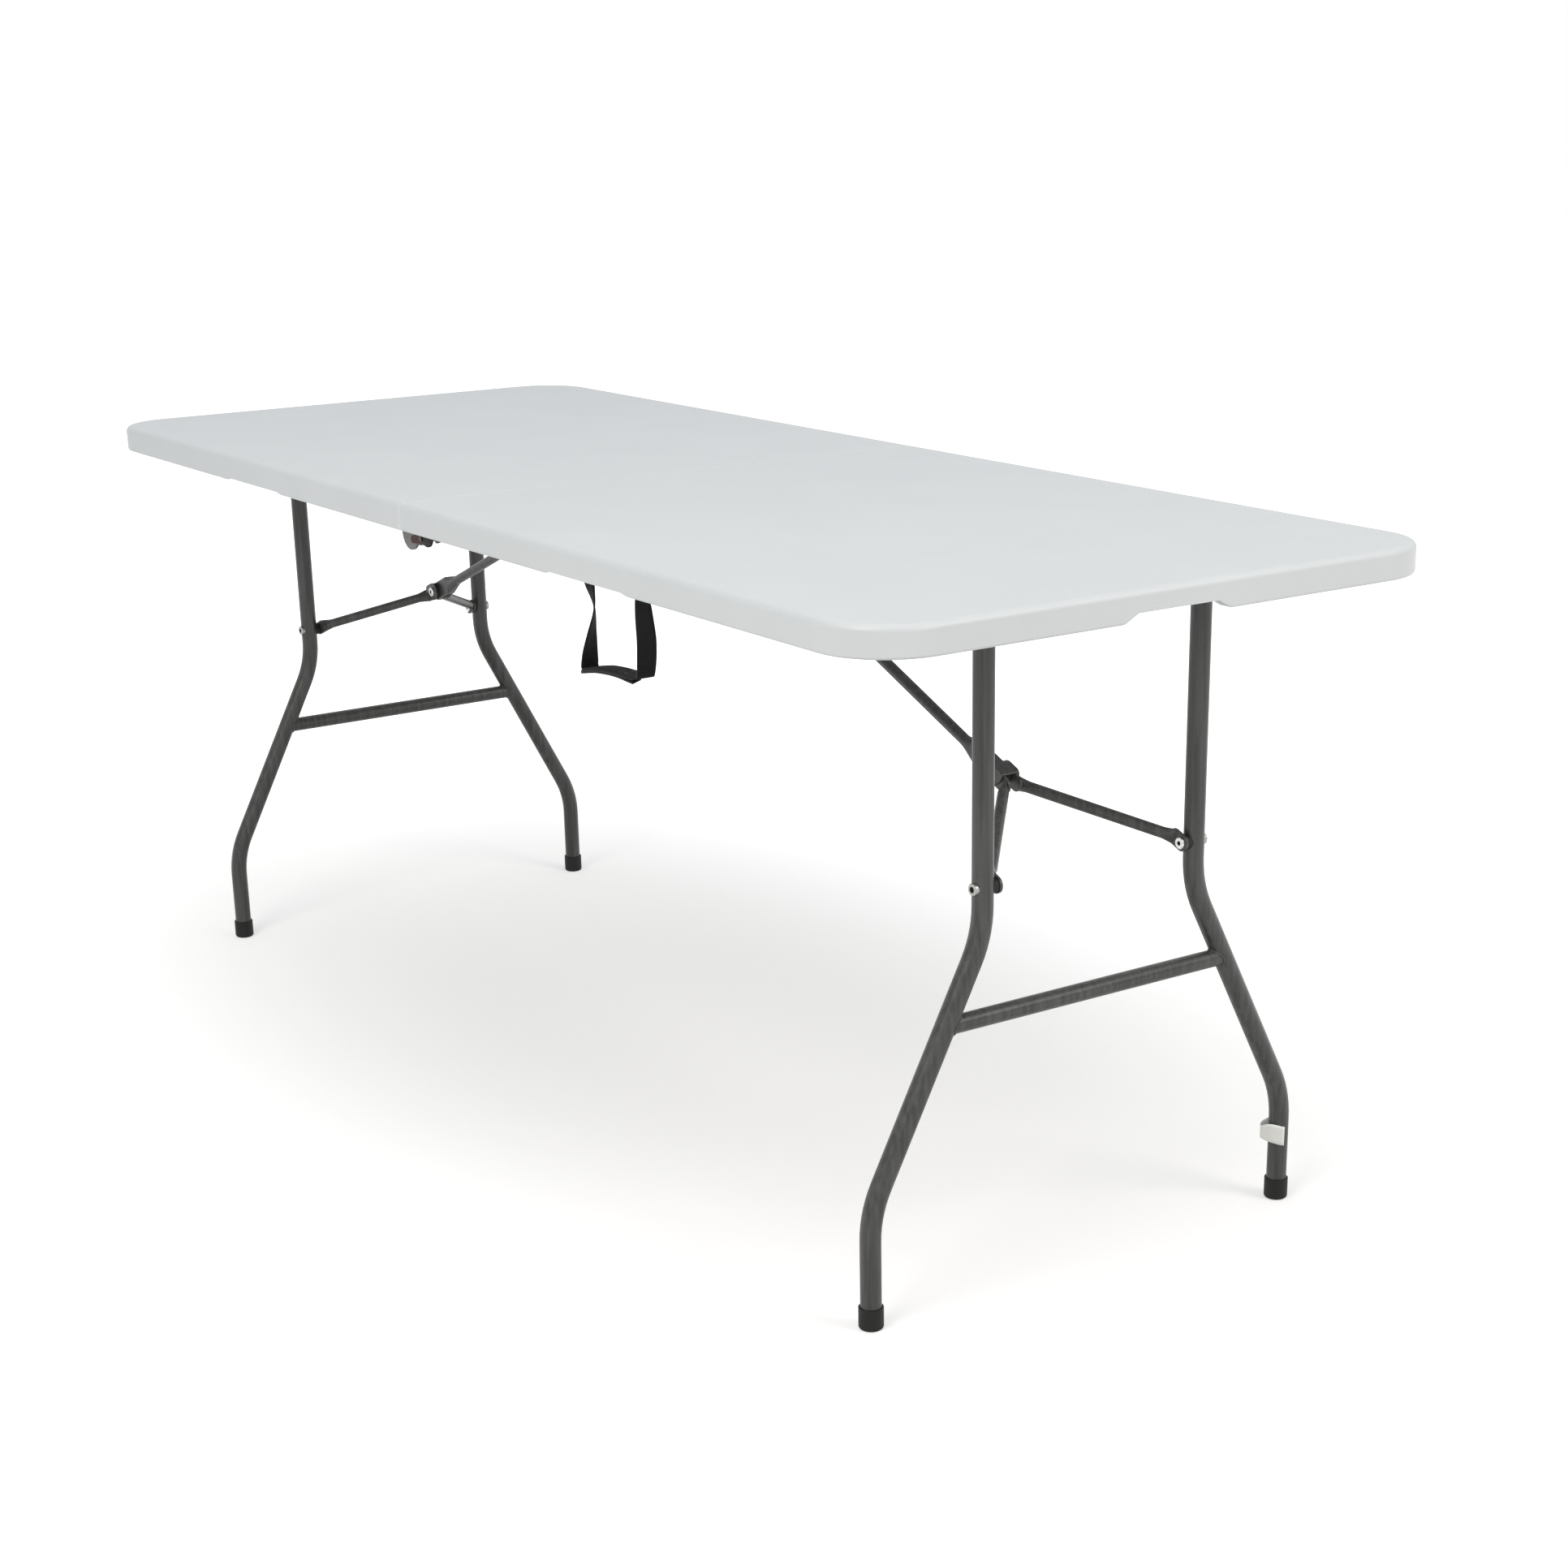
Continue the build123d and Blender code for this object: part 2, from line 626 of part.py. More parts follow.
def make_lower_arm():
    """Far lower arm: a tube that splays from the knuckle to the leg, with a flat tab at each end."""
    knuckle_y = fishtail_width / 2 + tab_gap + tab_thickness / 2
    leg_y = tab_outer_y - tab_thickness / 2
    run_x = lower_arm_reach - knuckle_tab_length - tab_length
    run_y = leg_y - knuckle_y
    length = hypot(run_x, run_y)
    turn = atan2(run_y, run_x)
    start = (upper_arm_reach + knuckle_tab_length, knuckle_y, 0)
    slant = Plane(start, x_dir=(-sin(turn), cos(turn), 0), z_dir=(cos(turn), sin(turn), 0))
    flat = RectangleRounded(tab_thickness, 2 * tab_radius, tab_thickness / 3)
    round_end = length - lower_arm_taper
    arm = loft([slant * flat, slant.offset(lower_arm_taper) * Circle(lower_arm_radius)])
    tube_face = Circle(lower_arm_radius) - Circle(lower_arm_radius - lower_arm_wall)
    arm += extrude(slant.offset(lower_arm_taper) * tube_face, amount=round_end - lower_arm_taper)
    arm += loft([slant.offset(round_end) * Circle(lower_arm_radius), slant.offset(length) * flat])
    half = tab_thickness / 2
    tab = slot_plate(upper_arm_reach, knuckle_tab_length, tab_radius, knuckle_y - half, knuckle_y + half)
    arm += tab
    arm += slot_plate(brace_reach - tab_length, tab_length, tab_radius, leg_y - half, leg_y + half)
    arm = arm - y_cylinder(knuckle_rivet_radius + pivot_fit, 0, 2 * knuckle_y, upper_arm_reach)
    leg_hole = leg_rivet_radius + weld_fit
    return arm - y_cylinder(leg_hole, leg_y - tab_thickness, leg_y + tab_thickness, brace_reach)


def make_arm_rivet():
    """Inner rivet head on the far lower arm's leg tab, dimpled like a tubular rivet."""
    inner = tab_outer_y - tab_thickness
    head = y_cylinder(rivet_head_radius, inner - rivet_head_height, inner, brace_reach)
    head = fillet(head.edges().group_by(Axis.Y)[0], rivet_head_height / 2)
    head += y_cylinder(leg_rivet_radius, inner, tab_outer_y, brace_reach)
    tip = inner - rivet_head_height
    return head - y_cylinder(rivet_dimple_radius, tip - overcut, tip + rivet_dimple_depth, brace_reach)


def hinge_plate(lobe_x, lobe_z, lobe_radius):
    """Outline of a hinge plate: a strip on the rail, the ear at the fold axis and a rounded lobe."""
    strip_x = rail_start + hinge_plate_length / 2
    strip_z = panel_under - hinge_plate_height / 2
    strip = Pos(strip_x, strip_z) * Rectangle(hinge_plate_length, hinge_plate_height)
    neck = Pos(lobe_x, strip_z) * Rectangle(2 * lobe_radius, hinge_plate_height)
    lobe = Pos(lobe_x, lobe_z) * Circle(lobe_radius)
    ear = Pos(0, fold_axis_z) * Circle(hinge_ear_radius)
    ear_root = Pos(lobe_x, lobe_z) * Circle(hinge_ear_radius)
    return strip + hull_of(neck, lobe) + hull_of(ear, ear_root)


def make_inner_hinge_plate():
    """Hinge plate of half a, on the inner face of its far rail."""
    profile = hinge_plate(inner_lobe_x, fold_axis_z + inner_lobe_rise, inner_lobe_radius)
    plate = plate_y(profile, rail_inner_y - hinge_plate_thickness, rail_inner_y)
    return plate - y_cylinder(hinge_pin_radius + weld_fit, 0, table_width, 0, fold_axis_z)


def make_outer_hinge_plate():
    """Hinge plate of half b before it is mirrored, on the outer face of its far rail."""
    profile = hinge_plate(outer_lobe_x, fold_axis_z + outer_lobe_rise, outer_lobe_radius)
    plate = plate_y(profile, rail_outer_y, rail_outer_y + hinge_plate_thickness)
    return plate - y_cylinder(hinge_pin_radius + pivot_fit, 0, table_width, 0, fold_axis_z)


def make_hinge_pin():
    """Headed pin through both hinge plates of the far hinge."""
    low = rail_inner_y - hinge_plate_thickness
    high = rail_outer_y + hinge_plate_thickness + side_play
    pin = y_cylinder(hinge_pin_radius, low, high, 0, fold_axis_z)
    inner_head = y_cylinder(hinge_pin_head_radius, low - hinge_pin_head_height, low, 0, fold_axis_z)
    outer_head = y_cylinder(hinge_pin_head_radius, high, high + hinge_pin_head_height, 0, fold_axis_z)
    inner_head = fillet(inner_head.edges().group_by(Axis.Y)[0], hinge_pin_head_height / 2)
    outer_head = fillet(outer_head.edges().group_by(Axis.Y)[-1], hinge_pin_head_height / 2)
    return pin + inner_head + outer_head


def make_latch_lever():
    """Red latch lever in front of the near hinge, with a rounded end for the thumb."""
    pivot = Pos(*latch_pivot) * Circle(latch_pivot_radius)
    nose = Pos(latch_nose_x, fold_axis_z + latch_nose_rise) * Circle(latch_nose_radius)
    thumb = Pos(latch_thumb_x, fold_axis_z + latch_thumb_rise) * Circle(latch_thumb_radius)
    lever = plate_y(hull_of(pivot, nose) + hull_of(pivot, thumb), latch_outer_y, latch_inner_y)
    return lever - y_cylinder(latch_pin_radius + pivot_fit, latch_outer_y - overcut, 0, *latch_pivot)


def make_latch_pin():
    """Pin of the latch lever: it stands on the near inner hinge plate, with a collar behind the lever."""
    head_inner = latch_outer_y - side_play
    pin = y_cylinder(latch_pin_radius, head_inner, -rail_inner_y + hinge_plate_thickness, *latch_pivot)
    pin += y_cylinder(latch_collar_radius, latch_inner_y + side_play, -rail_outer_y, *latch_pivot)
    head = y_cylinder(latch_head_radius, head_inner - latch_head_height, head_inner, *latch_pivot)
    return pin + fillet(head.edges().group_by(Axis.Y)[0], latch_head_height / 2)


def make_handle_strand(x):
    """One hanging end of the handle: flat to the rail at its top, and turned across it lower down."""
    thin = strap_thickness / 2
    flat_end = strap_hinge_z - strap_flat_length
    turned = flat_end - strap_twist_length
    low = strap_hinge_z - handle_drop + handle_corner_radius
    centred = (Align.CENTER, Align.CENTER, Align.MIN)
    strand = Pos(x, strap_y, flat_end) * Box(strap_width, strap_thickness, strap_flat_length, align=centred)
    eye = extrude(Plane.YZ * Circle(thin), amount=strap_width)
    eye = Pos(x - strap_width / 2, strap_y, strap_hinge_z) * eye
    flat_face = Pos(x, strap_y, flat_end) * Rectangle(strap_width, strap_thickness)
    turned_face = Pos(x, strap_y, turned) * Rectangle(strap_thickness, strap_width)
    strand += eye
    strand += loft([turned_face, flat_face])
    return strand + Pos(x, strap_y, low) * Box(strap_thickness, strap_width, turned - low, align=centred)


def make_handle_loop():
    """Hanging loop of the webbing handle, with room for a hand."""
    low = strap_hinge_z - handle_drop
    outer = handle_spread + strap_thickness
    inner_radius = handle_corner_radius - strap_thickness
    outline = Pos(handle_x, low + handle_corner_radius / 2) * Rectangle(outer, handle_corner_radius)
    outline = fillet(outline.vertices().group_by(Axis.Y)[0], handle_corner_radius - strap_thickness / 4)
    hand = Rectangle(outer - 2 * strap_thickness, handle_corner_radius)
    hand = Pos(handle_x, low + strap_thickness + handle_corner_radius / 2) * hand
    hand = fillet(hand.vertices().group_by(Axis.Y)[0], inner_radius - strap_thickness / 4)
    loop = plate_y(outline - hand, strap_y - strap_width / 2, strap_y + strap_width / 2)
    for x in strap_xs:
        loop += make_handle_strand(x)
    return loop


def handle_screw_z():
    """Height of the handle screws, in the middle of the clamping plates."""
    return panel_under - strap_tab_top_drop - handle_plate_height / 2


def make_handle_tabs():
    """The two ends of the webbing, held against the near rail."""
    tabs = []
    top = panel_under - strap_tab_top_drop
    for x in strap_xs:
        seat = (Align.CENTER, Align.CENTER, Align.MIN)
        tab = Box(strap_width, strap_thickness, top - strap_tab_low, align=seat)
        tab = Pos(x, strap_y, strap_tab_low) * tab
        tabs.append(tab - y_cylinder(screw_radius + screw_fit, -table_width, 0, x, handle_screw_z()))
    return tabs


def make_handle_plates():
    """Clamping plates over the ends of the webbing."""
    plates = []
    face = strap_y - strap_thickness / 2
    for x in strap_xs:
        seat = (Align.CENTER, Align.MAX, Align.CENTER)
        plate = Box(strap_width, handle_plate_thickness, handle_plate_height, align=seat)
        plate = Pos(x, face, handle_screw_z()) * plate
        plates.append(plate - y_cylinder(screw_radius + screw_fit, -table_width, 0, x, handle_screw_z()))
    return plates


def make_handle_screws():
    """Screws through the clamping plates and webbing into the near rail."""
    screws = []
    seat = strap_y - strap_thickness / 2 - handle_plate_thickness
    for x in strap_xs:
        head = y_cylinder(screw_head_radius, seat - handle_screw_head_height, seat, x, handle_screw_z())
        head = fillet(head.edges().group_by(Axis.Y)[0], handle_screw_head_height / 2)
        screws.append(head + y_cylinder(screw_radius, seat, seat + handle_screw_length, x, handle_screw_z()))
    return screws


def make_tag():
    """Blank wrap tag round the foot of a far leg, with its free end standing off."""
    inner = leg_radius + tag_fit
    outer = inner + tag_thickness
    band = Cylinder(outer, tag_height) - Cylinder(inner, tag_height)
    flag = Pos((inner + outer) / 2, 0, 0) * Box(
        tag_thickness, tag_flag_length, tag_height, align=(Align.CENTER, Align.MAX, Align.CENTER))
    return Pos(leg_x, leg_foot_y, tag_z) * (band + flag)


def near(piece):
    """The matching piece on the near side."""
    return mirror(piece, about=Plane.XZ)


def build_half():
    """Pieces fixed to the top half at +X, by name."""
    bracket = make_leg_bracket()
    bush = make_leg_bush()
    brace_bracket = make_brace_bracket()
    return {
        "top": make_top(),
        "side_rail_near": make_rail(-1),
        "side_rail_far": make_rail(1),
        "underside_screws": make_screws(),
        "leg_bracket_near": near(bracket),
        "leg_bracket_far": bracket,
        "leg_bushes": [near(bush), bush],
        "brace_brackets": [near(brace_bracket), brace_bracket],
        "brace_pin": make_brace_pin(),
    }


def build_legs():
    """Pieces of the leg set at +X, by name."""
    leg = make_leg()
    bar = swept_leg(leg_radius + weld_fit, foot_sole)
    foot = make_foot()
    axle = make_axle()
    spacer = make_spacer()
    rivet = make_leg_rivet()
    return {
        "leg_pivot_tube": make_pivot_tube(),
        "leg_axles": [near(axle), axle],
        "leg_near": near(leg),
        "leg_far": leg,
        "leg_crossbar": make_crossbar([bar, near(bar)]),
        "foot_near": near(foot),
        "foot_far": foot,
        "leg_rivets": [near(rivet), rivet],
        "leg_spacers": [near(spacer), spacer],
    }


def build_brace():
    """Pieces of the brace at +X, by name."""
    place = brace_frame()
    arm = place * make_lower_arm()
    rivet = place * make_arm_rivet()
    return {
        "upper_arm": place * make_upper_arm(),
        "knuckle_rivet": place * make_knuckle_rivet(),
        "lower_arm_near": near(arm),
        "lower_arm_far": arm,
        "arm_rivets": [near(rivet), rivet],
    }


def build_table():
    """Every piece of the table, by node name."""
    nodes = {}
    for group in (build_half(), build_legs(), build_brace()):
        for name, piece in group.items():
            nodes[name + "_a"] = piece
            if isinstance(piece, list):
                nodes[name + "_b"] = [mirror(item, about=Plane.YZ) for item in piece]
            else:
                nodes[name + "_b"] = mirror(piece, about=Plane.YZ)
    inner_plate = make_inner_hinge_plate()
    outer_plate = mirror(make_outer_hinge_plate(), about=Plane.YZ)
    nodes["hinge_plate_near_a"] = near(inner_plate) - y_cylinder(
        latch_pin_radius + weld_fit, -table_width, 0, *latch_pivot)
    nodes["hinge_plate_far_a"] = inner_plate
    nodes["hinge_plate_near_b"] = near(outer_plate)
    nodes["hinge_plate_far_b"] = outer_plate
    hinge_pin = make_hinge_pin()
    nodes["hinge_pin_near"] = near(hinge_pin)
    nodes["hinge_pin_far"] = hinge_pin
    nodes["latch_lever"] = make_latch_lever()
    nodes["latch_pin"] = make_latch_pin()
    nodes["handle_loop"] = make_handle_loop()
    nodes["handle_tabs"] = make_handle_tabs()
    nodes["handle_plates"] = make_handle_plates()
    nodes["handle_screws"] = make_handle_screws()
    for x in strap_xs:
        hole = y_cylinder(screw_radius + screw_fit, -rail_outer_y - overcut, -rail_y, x, handle_screw_z())
        nodes["side_rail_near_a"] = nodes["side_rail_near_a"] - hole
    nodes["leg_tag"] = make_tag()
    return nodes


def write_parts(nodes):
    """Write one file for each node, with grouped pieces as separate solids."""
    os.makedirs("parts", exist_ok=True)
    for name, piece in nodes.items():
        if isinstance(piece, list):
            piece = Compound([solid for item in piece for solid in item.solids()])
        export_step(piece, f"parts/{name}.step")


write_parts(build_table())
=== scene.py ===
"""Looks of a folding table: finishes, webbing, tag, welds and fastenings, with stage and camera."""

import json
import logging
import math
from dataclasses import dataclass
from enum import Enum
from typing import Any, Iterable, Sequence

import bmesh
import bpy
from bmesh.types import BMesh, BMEdge, BMVert
from mathutils import Matrix, Vector
from mathutils.bvhtree import BVHTree

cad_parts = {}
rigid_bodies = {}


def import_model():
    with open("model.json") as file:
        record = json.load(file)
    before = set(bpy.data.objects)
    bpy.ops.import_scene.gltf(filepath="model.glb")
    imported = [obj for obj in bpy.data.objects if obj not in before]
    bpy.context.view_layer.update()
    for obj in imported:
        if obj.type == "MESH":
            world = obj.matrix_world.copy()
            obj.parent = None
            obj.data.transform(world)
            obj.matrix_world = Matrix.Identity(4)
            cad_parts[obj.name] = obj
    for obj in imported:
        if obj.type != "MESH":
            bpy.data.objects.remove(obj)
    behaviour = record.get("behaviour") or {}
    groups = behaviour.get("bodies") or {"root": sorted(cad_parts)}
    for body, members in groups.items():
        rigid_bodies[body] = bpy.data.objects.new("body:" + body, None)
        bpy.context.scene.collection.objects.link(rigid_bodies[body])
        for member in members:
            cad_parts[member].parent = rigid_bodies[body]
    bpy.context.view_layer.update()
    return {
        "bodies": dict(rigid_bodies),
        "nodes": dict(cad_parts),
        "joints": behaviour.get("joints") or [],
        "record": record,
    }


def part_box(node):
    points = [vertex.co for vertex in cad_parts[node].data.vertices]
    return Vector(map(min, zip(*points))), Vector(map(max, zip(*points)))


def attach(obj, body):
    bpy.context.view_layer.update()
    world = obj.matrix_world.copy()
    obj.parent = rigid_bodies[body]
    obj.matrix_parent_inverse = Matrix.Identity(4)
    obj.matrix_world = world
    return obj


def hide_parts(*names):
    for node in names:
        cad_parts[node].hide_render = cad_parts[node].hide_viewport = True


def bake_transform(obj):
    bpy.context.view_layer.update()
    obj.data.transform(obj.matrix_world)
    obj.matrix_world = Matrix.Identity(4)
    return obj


LOG = logging.getLogger("folding_table")
MM = 0.001
TAG_WIDTH = 22.3 * MM
PAINT_IOR = 1.5
NOISE_REACH = (0.3, 0.7)
CLOUD_REACH = (0.35, 0.65)

Colour = tuple[float, float, float]
Socket = bpy.types.NodeSocket


class Slot(Enum):
    """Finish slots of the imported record."""

    TOP = "top_plastic"
    RAIL = "rail_steel"
    LEG = "leg_steel"
    BRIGHT = "bright_steel"
    HINGE = "hinge_steel"
    NYLON = "nylon"
    BLACK = "black_plastic"
    LATCH = "latch_plastic"
    WEBBING = "webbing"
    TAG = "tag_film"


class Pair(Enum):
    """One of two opposite places on the table, with its word in names and its way along an axis."""

    @property
    def word(self) -> str:
        """Word for the place in node, body and piece names."""
        return self.value[0]

    @property
    def way(self) -> int:
        """Sign of the axis there."""
        return self.value[1]


class End(Pair):
    """The two ends of the table, along X."""

    A = ("a", 1)
    B = ("b", -1)


class Side(Pair):
    """The two long sides of the table, along Y."""

    NEAR = ("near", -1)
    FAR = ("far", 1)


class Wiring:
    """Short ways to add nodes to a tree and join them."""

    def __init__(self, tree: bpy.types.NodeTree) -> None:
        """Start with an emptied tree."""
        self.tree = tree
        self.tree.nodes.clear()

    def add(self, kind: str, **settings: Any) -> bpy.types.Node:
        """Add a node.

        Args:
            kind: The node's type.
            settings: Properties to set on it.

        Returns:
            The new node.
        """
        node = self.tree.nodes.new(kind)
        for name, value in settings.items():
            setattr(node, name, value)
        return node

    def join(self, source: Socket, target: Socket) -> None:
        """Link an output to an input."""
        self.tree.links.new(source, target)

    def joins(self, pairs: Iterable[tuple[Socket, Socket]]) -> None:
        """Link several outputs to inputs."""
        for source, target in pairs:
            self.join(source, target)

    def place(self, scale: Sequence[float] = (1, 1, 1), shift: Sequence[float] = (0, 0, 0)) -> Socket:
        """Give object coordinates.

        Args:
            scale: Stretch along each axis.
            shift: What is then added.

        Returns:
            The mapped vector.
        """
        mapping = self.add("ShaderNodeMapping")
        mapping.inputs["Scale"].default_value = scale
        mapping.inputs["Location"].default_value = shift
        self.join(self.add("ShaderNodeTexCoord").outputs["Object"], mapping.inputs["Vector"])
        return mapping.outputs["Vector"]

    def split(self, vector: Socket) -> Any:
        """Take a vector apart.

        Args:
            vector: The vector.

        Returns:
            The outputs X, Y and Z.
        """
        node = self.add("ShaderNodeSeparateXYZ")
        self.join(vector, node.inputs["Vector"])
        return node.outputs

    def noise(self, at: Socket, per_metre: float, detail: float = 2.0) -> Socket:
        """Make a cloudy pattern.

        Args:
            at: Texture coordinates.
            per_metre: Cells in a metre.
            detail: Layers of finer cells.

        Returns:
            The pattern, about 0.3 to 0.7.
        """
        node = self.add("ShaderNodeTexNoise")
        node.inputs["Scale"].default_value = per_metre
        node.inputs["Detail"].default_value = detail
        self.join(at, node.inputs["Vector"])
        return node.outputs["Fac"]

    def span(self, value: Socket, source: Sequence[float], target: Sequence[float],
             ease: str = "LINEAR") -> Socket:
        """Stretch a value from one range to another.

        Args:
            value: The value.
            source: Its lowest and highest.
            target: What these become.
            ease: How it runs between them.

        Returns:
            The clamped result.
        """
        node = self.add("ShaderNodeMapRange", interpolation_type=ease)
        self.join(value, node.inputs["Value"])
        limits = (*source, *target)
        for name, limit in zip(("From Min", "From Max", "To Min", "To Max"), limits):
            node.inputs[name].default_value = limit
        return node.outputs["Result"]

    def math(self, operation: str, first: Any, second: Any = 0.0) -> Socket:
        """Work out one sum.

        Args:
            operation: Operation of the Math node.
            first: A socket or a number.
            second: A socket or a number.

        Returns:
            The result.
        """
        node = self.add("ShaderNodeMath", operation=operation)
        for slot, value in zip(node.inputs, (first, second)):
            if isinstance(value, Socket):
                self.join(value, slot)
            else:
                slot.default_value = value
        return node.outputs["Value"]

    def tint(self, share: Socket, first: Colour, second: Colour) -> Socket:
        """Mix two colours.

        Args:
            share: How much of the second colour.
            first: The first colour.
            second: The second colour.

        Returns:
            The mixed colour.
        """
        node = self.add("ShaderNodeMix", data_type="RGBA")
        self.join(share, node.inputs["Factor"])
        node.inputs[6].default_value = (*first, 1.0)
        node.inputs[7].default_value = (*second, 1.0)
        return node.outputs[2]

    def bump(self, height: Socket, depth: float, under: Socket | None = None) -> Socket:
        """Raise the surface by a pattern.

        Args:
            height: The pattern.
            depth: Its height in metres.
            under: Normal that this one goes on top of.

        Returns:
            The bumped normal.
        """
        node = self.add("ShaderNodeBump")
        node.inputs["Distance"].default_value = depth
        self.join(height, node.inputs["Height"])
        if under is not None:
            self.join(under, node.inputs["Normal"])
        return node.outputs["Normal"]

    def plain_view(self) -> Socket:
        """Tell what is looked at from light that falls on the object.

        Returns:
            1 for what the camera, a reflection or a clear body sees, and 0 for light.
        """
        rays = self.add("ShaderNodeLightPath").outputs
        seen = self.math("MAXIMUM", rays["Is Camera Ray"], rays["Is Glossy Ray"])
        return self.math("MAXIMUM", seen, rays["Is Transmission Ray"])


class Graph(Wiring):
    """Wiring of one material that has one shader."""

    def __init__(self, name: str) -> None:
        """Start a material.

        Args:
            name: The material's name.
        """
        self.material = bpy.data.materials.new(name)
        self.material.use_nodes = True
        super().__init__(self.material.node_tree)
        self.shader = self.add("ShaderNodeBsdfPrincipled")
        output = self.add("ShaderNodeOutputMaterial")
        self.join(self.shader.outputs["BSDF"], output.inputs["Surface"])

    def fix(self, **values: Any) -> None:
        """Set plain values on the shader's own inputs, with underscores for spaces."""
        for name, value in values.items():
            self.shader.inputs[name.replace("_", " ")].default_value = value

    def feed(self, **sockets: Socket) -> None:
        """Link outputs to the shader's inputs, with underscores for spaces."""
        for name, socket in sockets.items():
            self.join(socket, self.shader.inputs[name.replace("_", " ")])


@dataclass(frozen=True)
class MouldedPlastic:
    """Blow-moulded plastic with a fine grain and a faint unevenness."""

    name: str
    colour: Colour
    shade: Colour
    roughness: tuple[float, float] = (0.38, 0.5)
    grain_per_metre: float = 900.0
    grain_depth: float = 0.05 * MM
    wave_per_metre: float = 9.0
    wave_depth: float = 0.25 * MM
    # Band round the seam, on the rim below the top face, that is painted paler as a painted highlight
    # of its rounded edges.
    seam_reach: tuple[float, float] = (2.2 * MM, 4.0 * MM)
    seam_top: tuple[float, float] = (734 * MM, 739 * MM)
    seam_light: float = 0.1

    def material(self) -> bpy.types.Material:
        """Make the material, with a painted highlight: a little paler on the rim at the rounded edges
        of the seam, where they would catch the light.

        Returns:
            The material.
        """
        graph = Graph(self.name)
        at = graph.place()
        cloud = graph.noise(at, self.wave_per_metre, 3.0)
        grain = graph.noise(at, self.grain_per_metre)
        spot = graph.split(at)
        # Painted highlight: the rim is made paler next to the seam, where its rounded edges would
        # catch the light.
        rim = graph.span(spot["Z"], self.seam_top, (1, 0))
        seam = graph.span(graph.math("ABSOLUTE", spot["X"]), self.seam_reach, (self.seam_light, 0))
        light = graph.math("ADD", graph.math("MULTIPLY", rim, seam), 1.0)
        colour = graph.tint(graph.span(cloud, CLOUD_REACH, (0, 1)), self.colour, self.shade)
        scale = graph.add("ShaderNodeVectorMath", operation="SCALE")
        graph.joins(((colour, scale.inputs[0]), (light, scale.inputs["Scale"])))
        graph.feed(
            Base_Color=scale.outputs["Vector"],
            Roughness=graph.span(grain, NOISE_REACH, self.roughness),
            Normal=graph.bump(grain, self.grain_depth, graph.bump(cloud, self.wave_depth)),
        )
        graph.fix(IOR=PAINT_IOR)
        return graph.material


@dataclass(frozen=True)
class CoatedSteel:
    """Powder-coated steel with fine orange peel and faint streaks along the tube."""

    name: str
    colour: Colour
    shade: Colour
    roughness: tuple[float, float] = (0.26, 0.4)
    specular: float = 0.34
    peel_per_metre: float = 650.0
    peel_depth: float = 0.04 * MM
    streak_per_metre: float = 190.0
    streak_stretch: float = 0.05

    def material(self) -> bpy.types.Material:
        """Make the material.

        Returns:
            The material.
        """
        graph = Graph(self.name)
        along = graph.place(scale=(1, 1, self.streak_stretch))
        streak = graph.noise(along, self.streak_per_metre, 3.0)
        peel = graph.noise(graph.place(), self.peel_per_metre)
        graph.feed(
            Base_Color=graph.tint(graph.span(streak, CLOUD_REACH, (0, 1)), self.colour, self.shade),
            Roughness=graph.span(peel, NOISE_REACH, self.roughness),
            Normal=graph.bump(peel, self.peel_depth),
        )
        graph.fix(IOR=PAINT_IOR, Specular_IOR_Level=self.specular)
        return graph.material


@dataclass(frozen=True)
class PlatedSteel:
    """Bright plated steel with fine tool marks."""

    name: str
    colour: Colour
    shade: Colour
    roughness: tuple[float, float] = (0.22, 0.42)
    mark_per_metre: float = 900.0
    mark_depth: float = 0.03 * MM

    def material(self) -> bpy.types.Material:
        """Make the material.

        Returns:
            The material.
        """
        graph = Graph(self.name)
        marks = graph.noise(graph.place(), self.mark_per_metre, 3.0)
        graph.feed(
            Base_Color=graph.tint(graph.span(marks, NOISE_REACH, (0, 1)), self.colour, self.shade),
            Roughness=graph.span(marks, NOISE_REACH, self.roughness),
            Normal=graph.bump(marks, self.mark_depth),
        )
        graph.fix(Metallic=1.0)
        return graph.material


@dataclass(frozen=True)
class SolidPlastic:
    """Injection-moulded plastic or rubber, spark-eroded to a fine matt."""

    name: str
    colour: Colour
    shade: Colour
    roughness: tuple[float, float]
    matt_per_metre: float = 1400.0
    matt_depth: float = 0.04 * MM
    cloud_size: float = 12.0
    specular: float = 0.5

    def material(self) -> bpy.types.Material:
        """Make the material.

        Returns:
            The material.
        """
        graph = Graph(self.name)
        at = graph.place()
        matt = graph.noise(at, self.matt_per_metre)
        cloud = graph.noise(at, self.matt_per_metre / self.cloud_size)
        graph.feed(
            Base_Color=graph.tint(graph.span(cloud, CLOUD_REACH, (0, 1)), self.colour, self.shade),
            Roughness=graph.span(matt, NOISE_REACH, self.roughness),
            Normal=graph.bump(matt, self.matt_depth),
        )
        graph.fix(IOR=PAINT_IOR, Specular_IOR_Level=self.specular)
        return graph.material


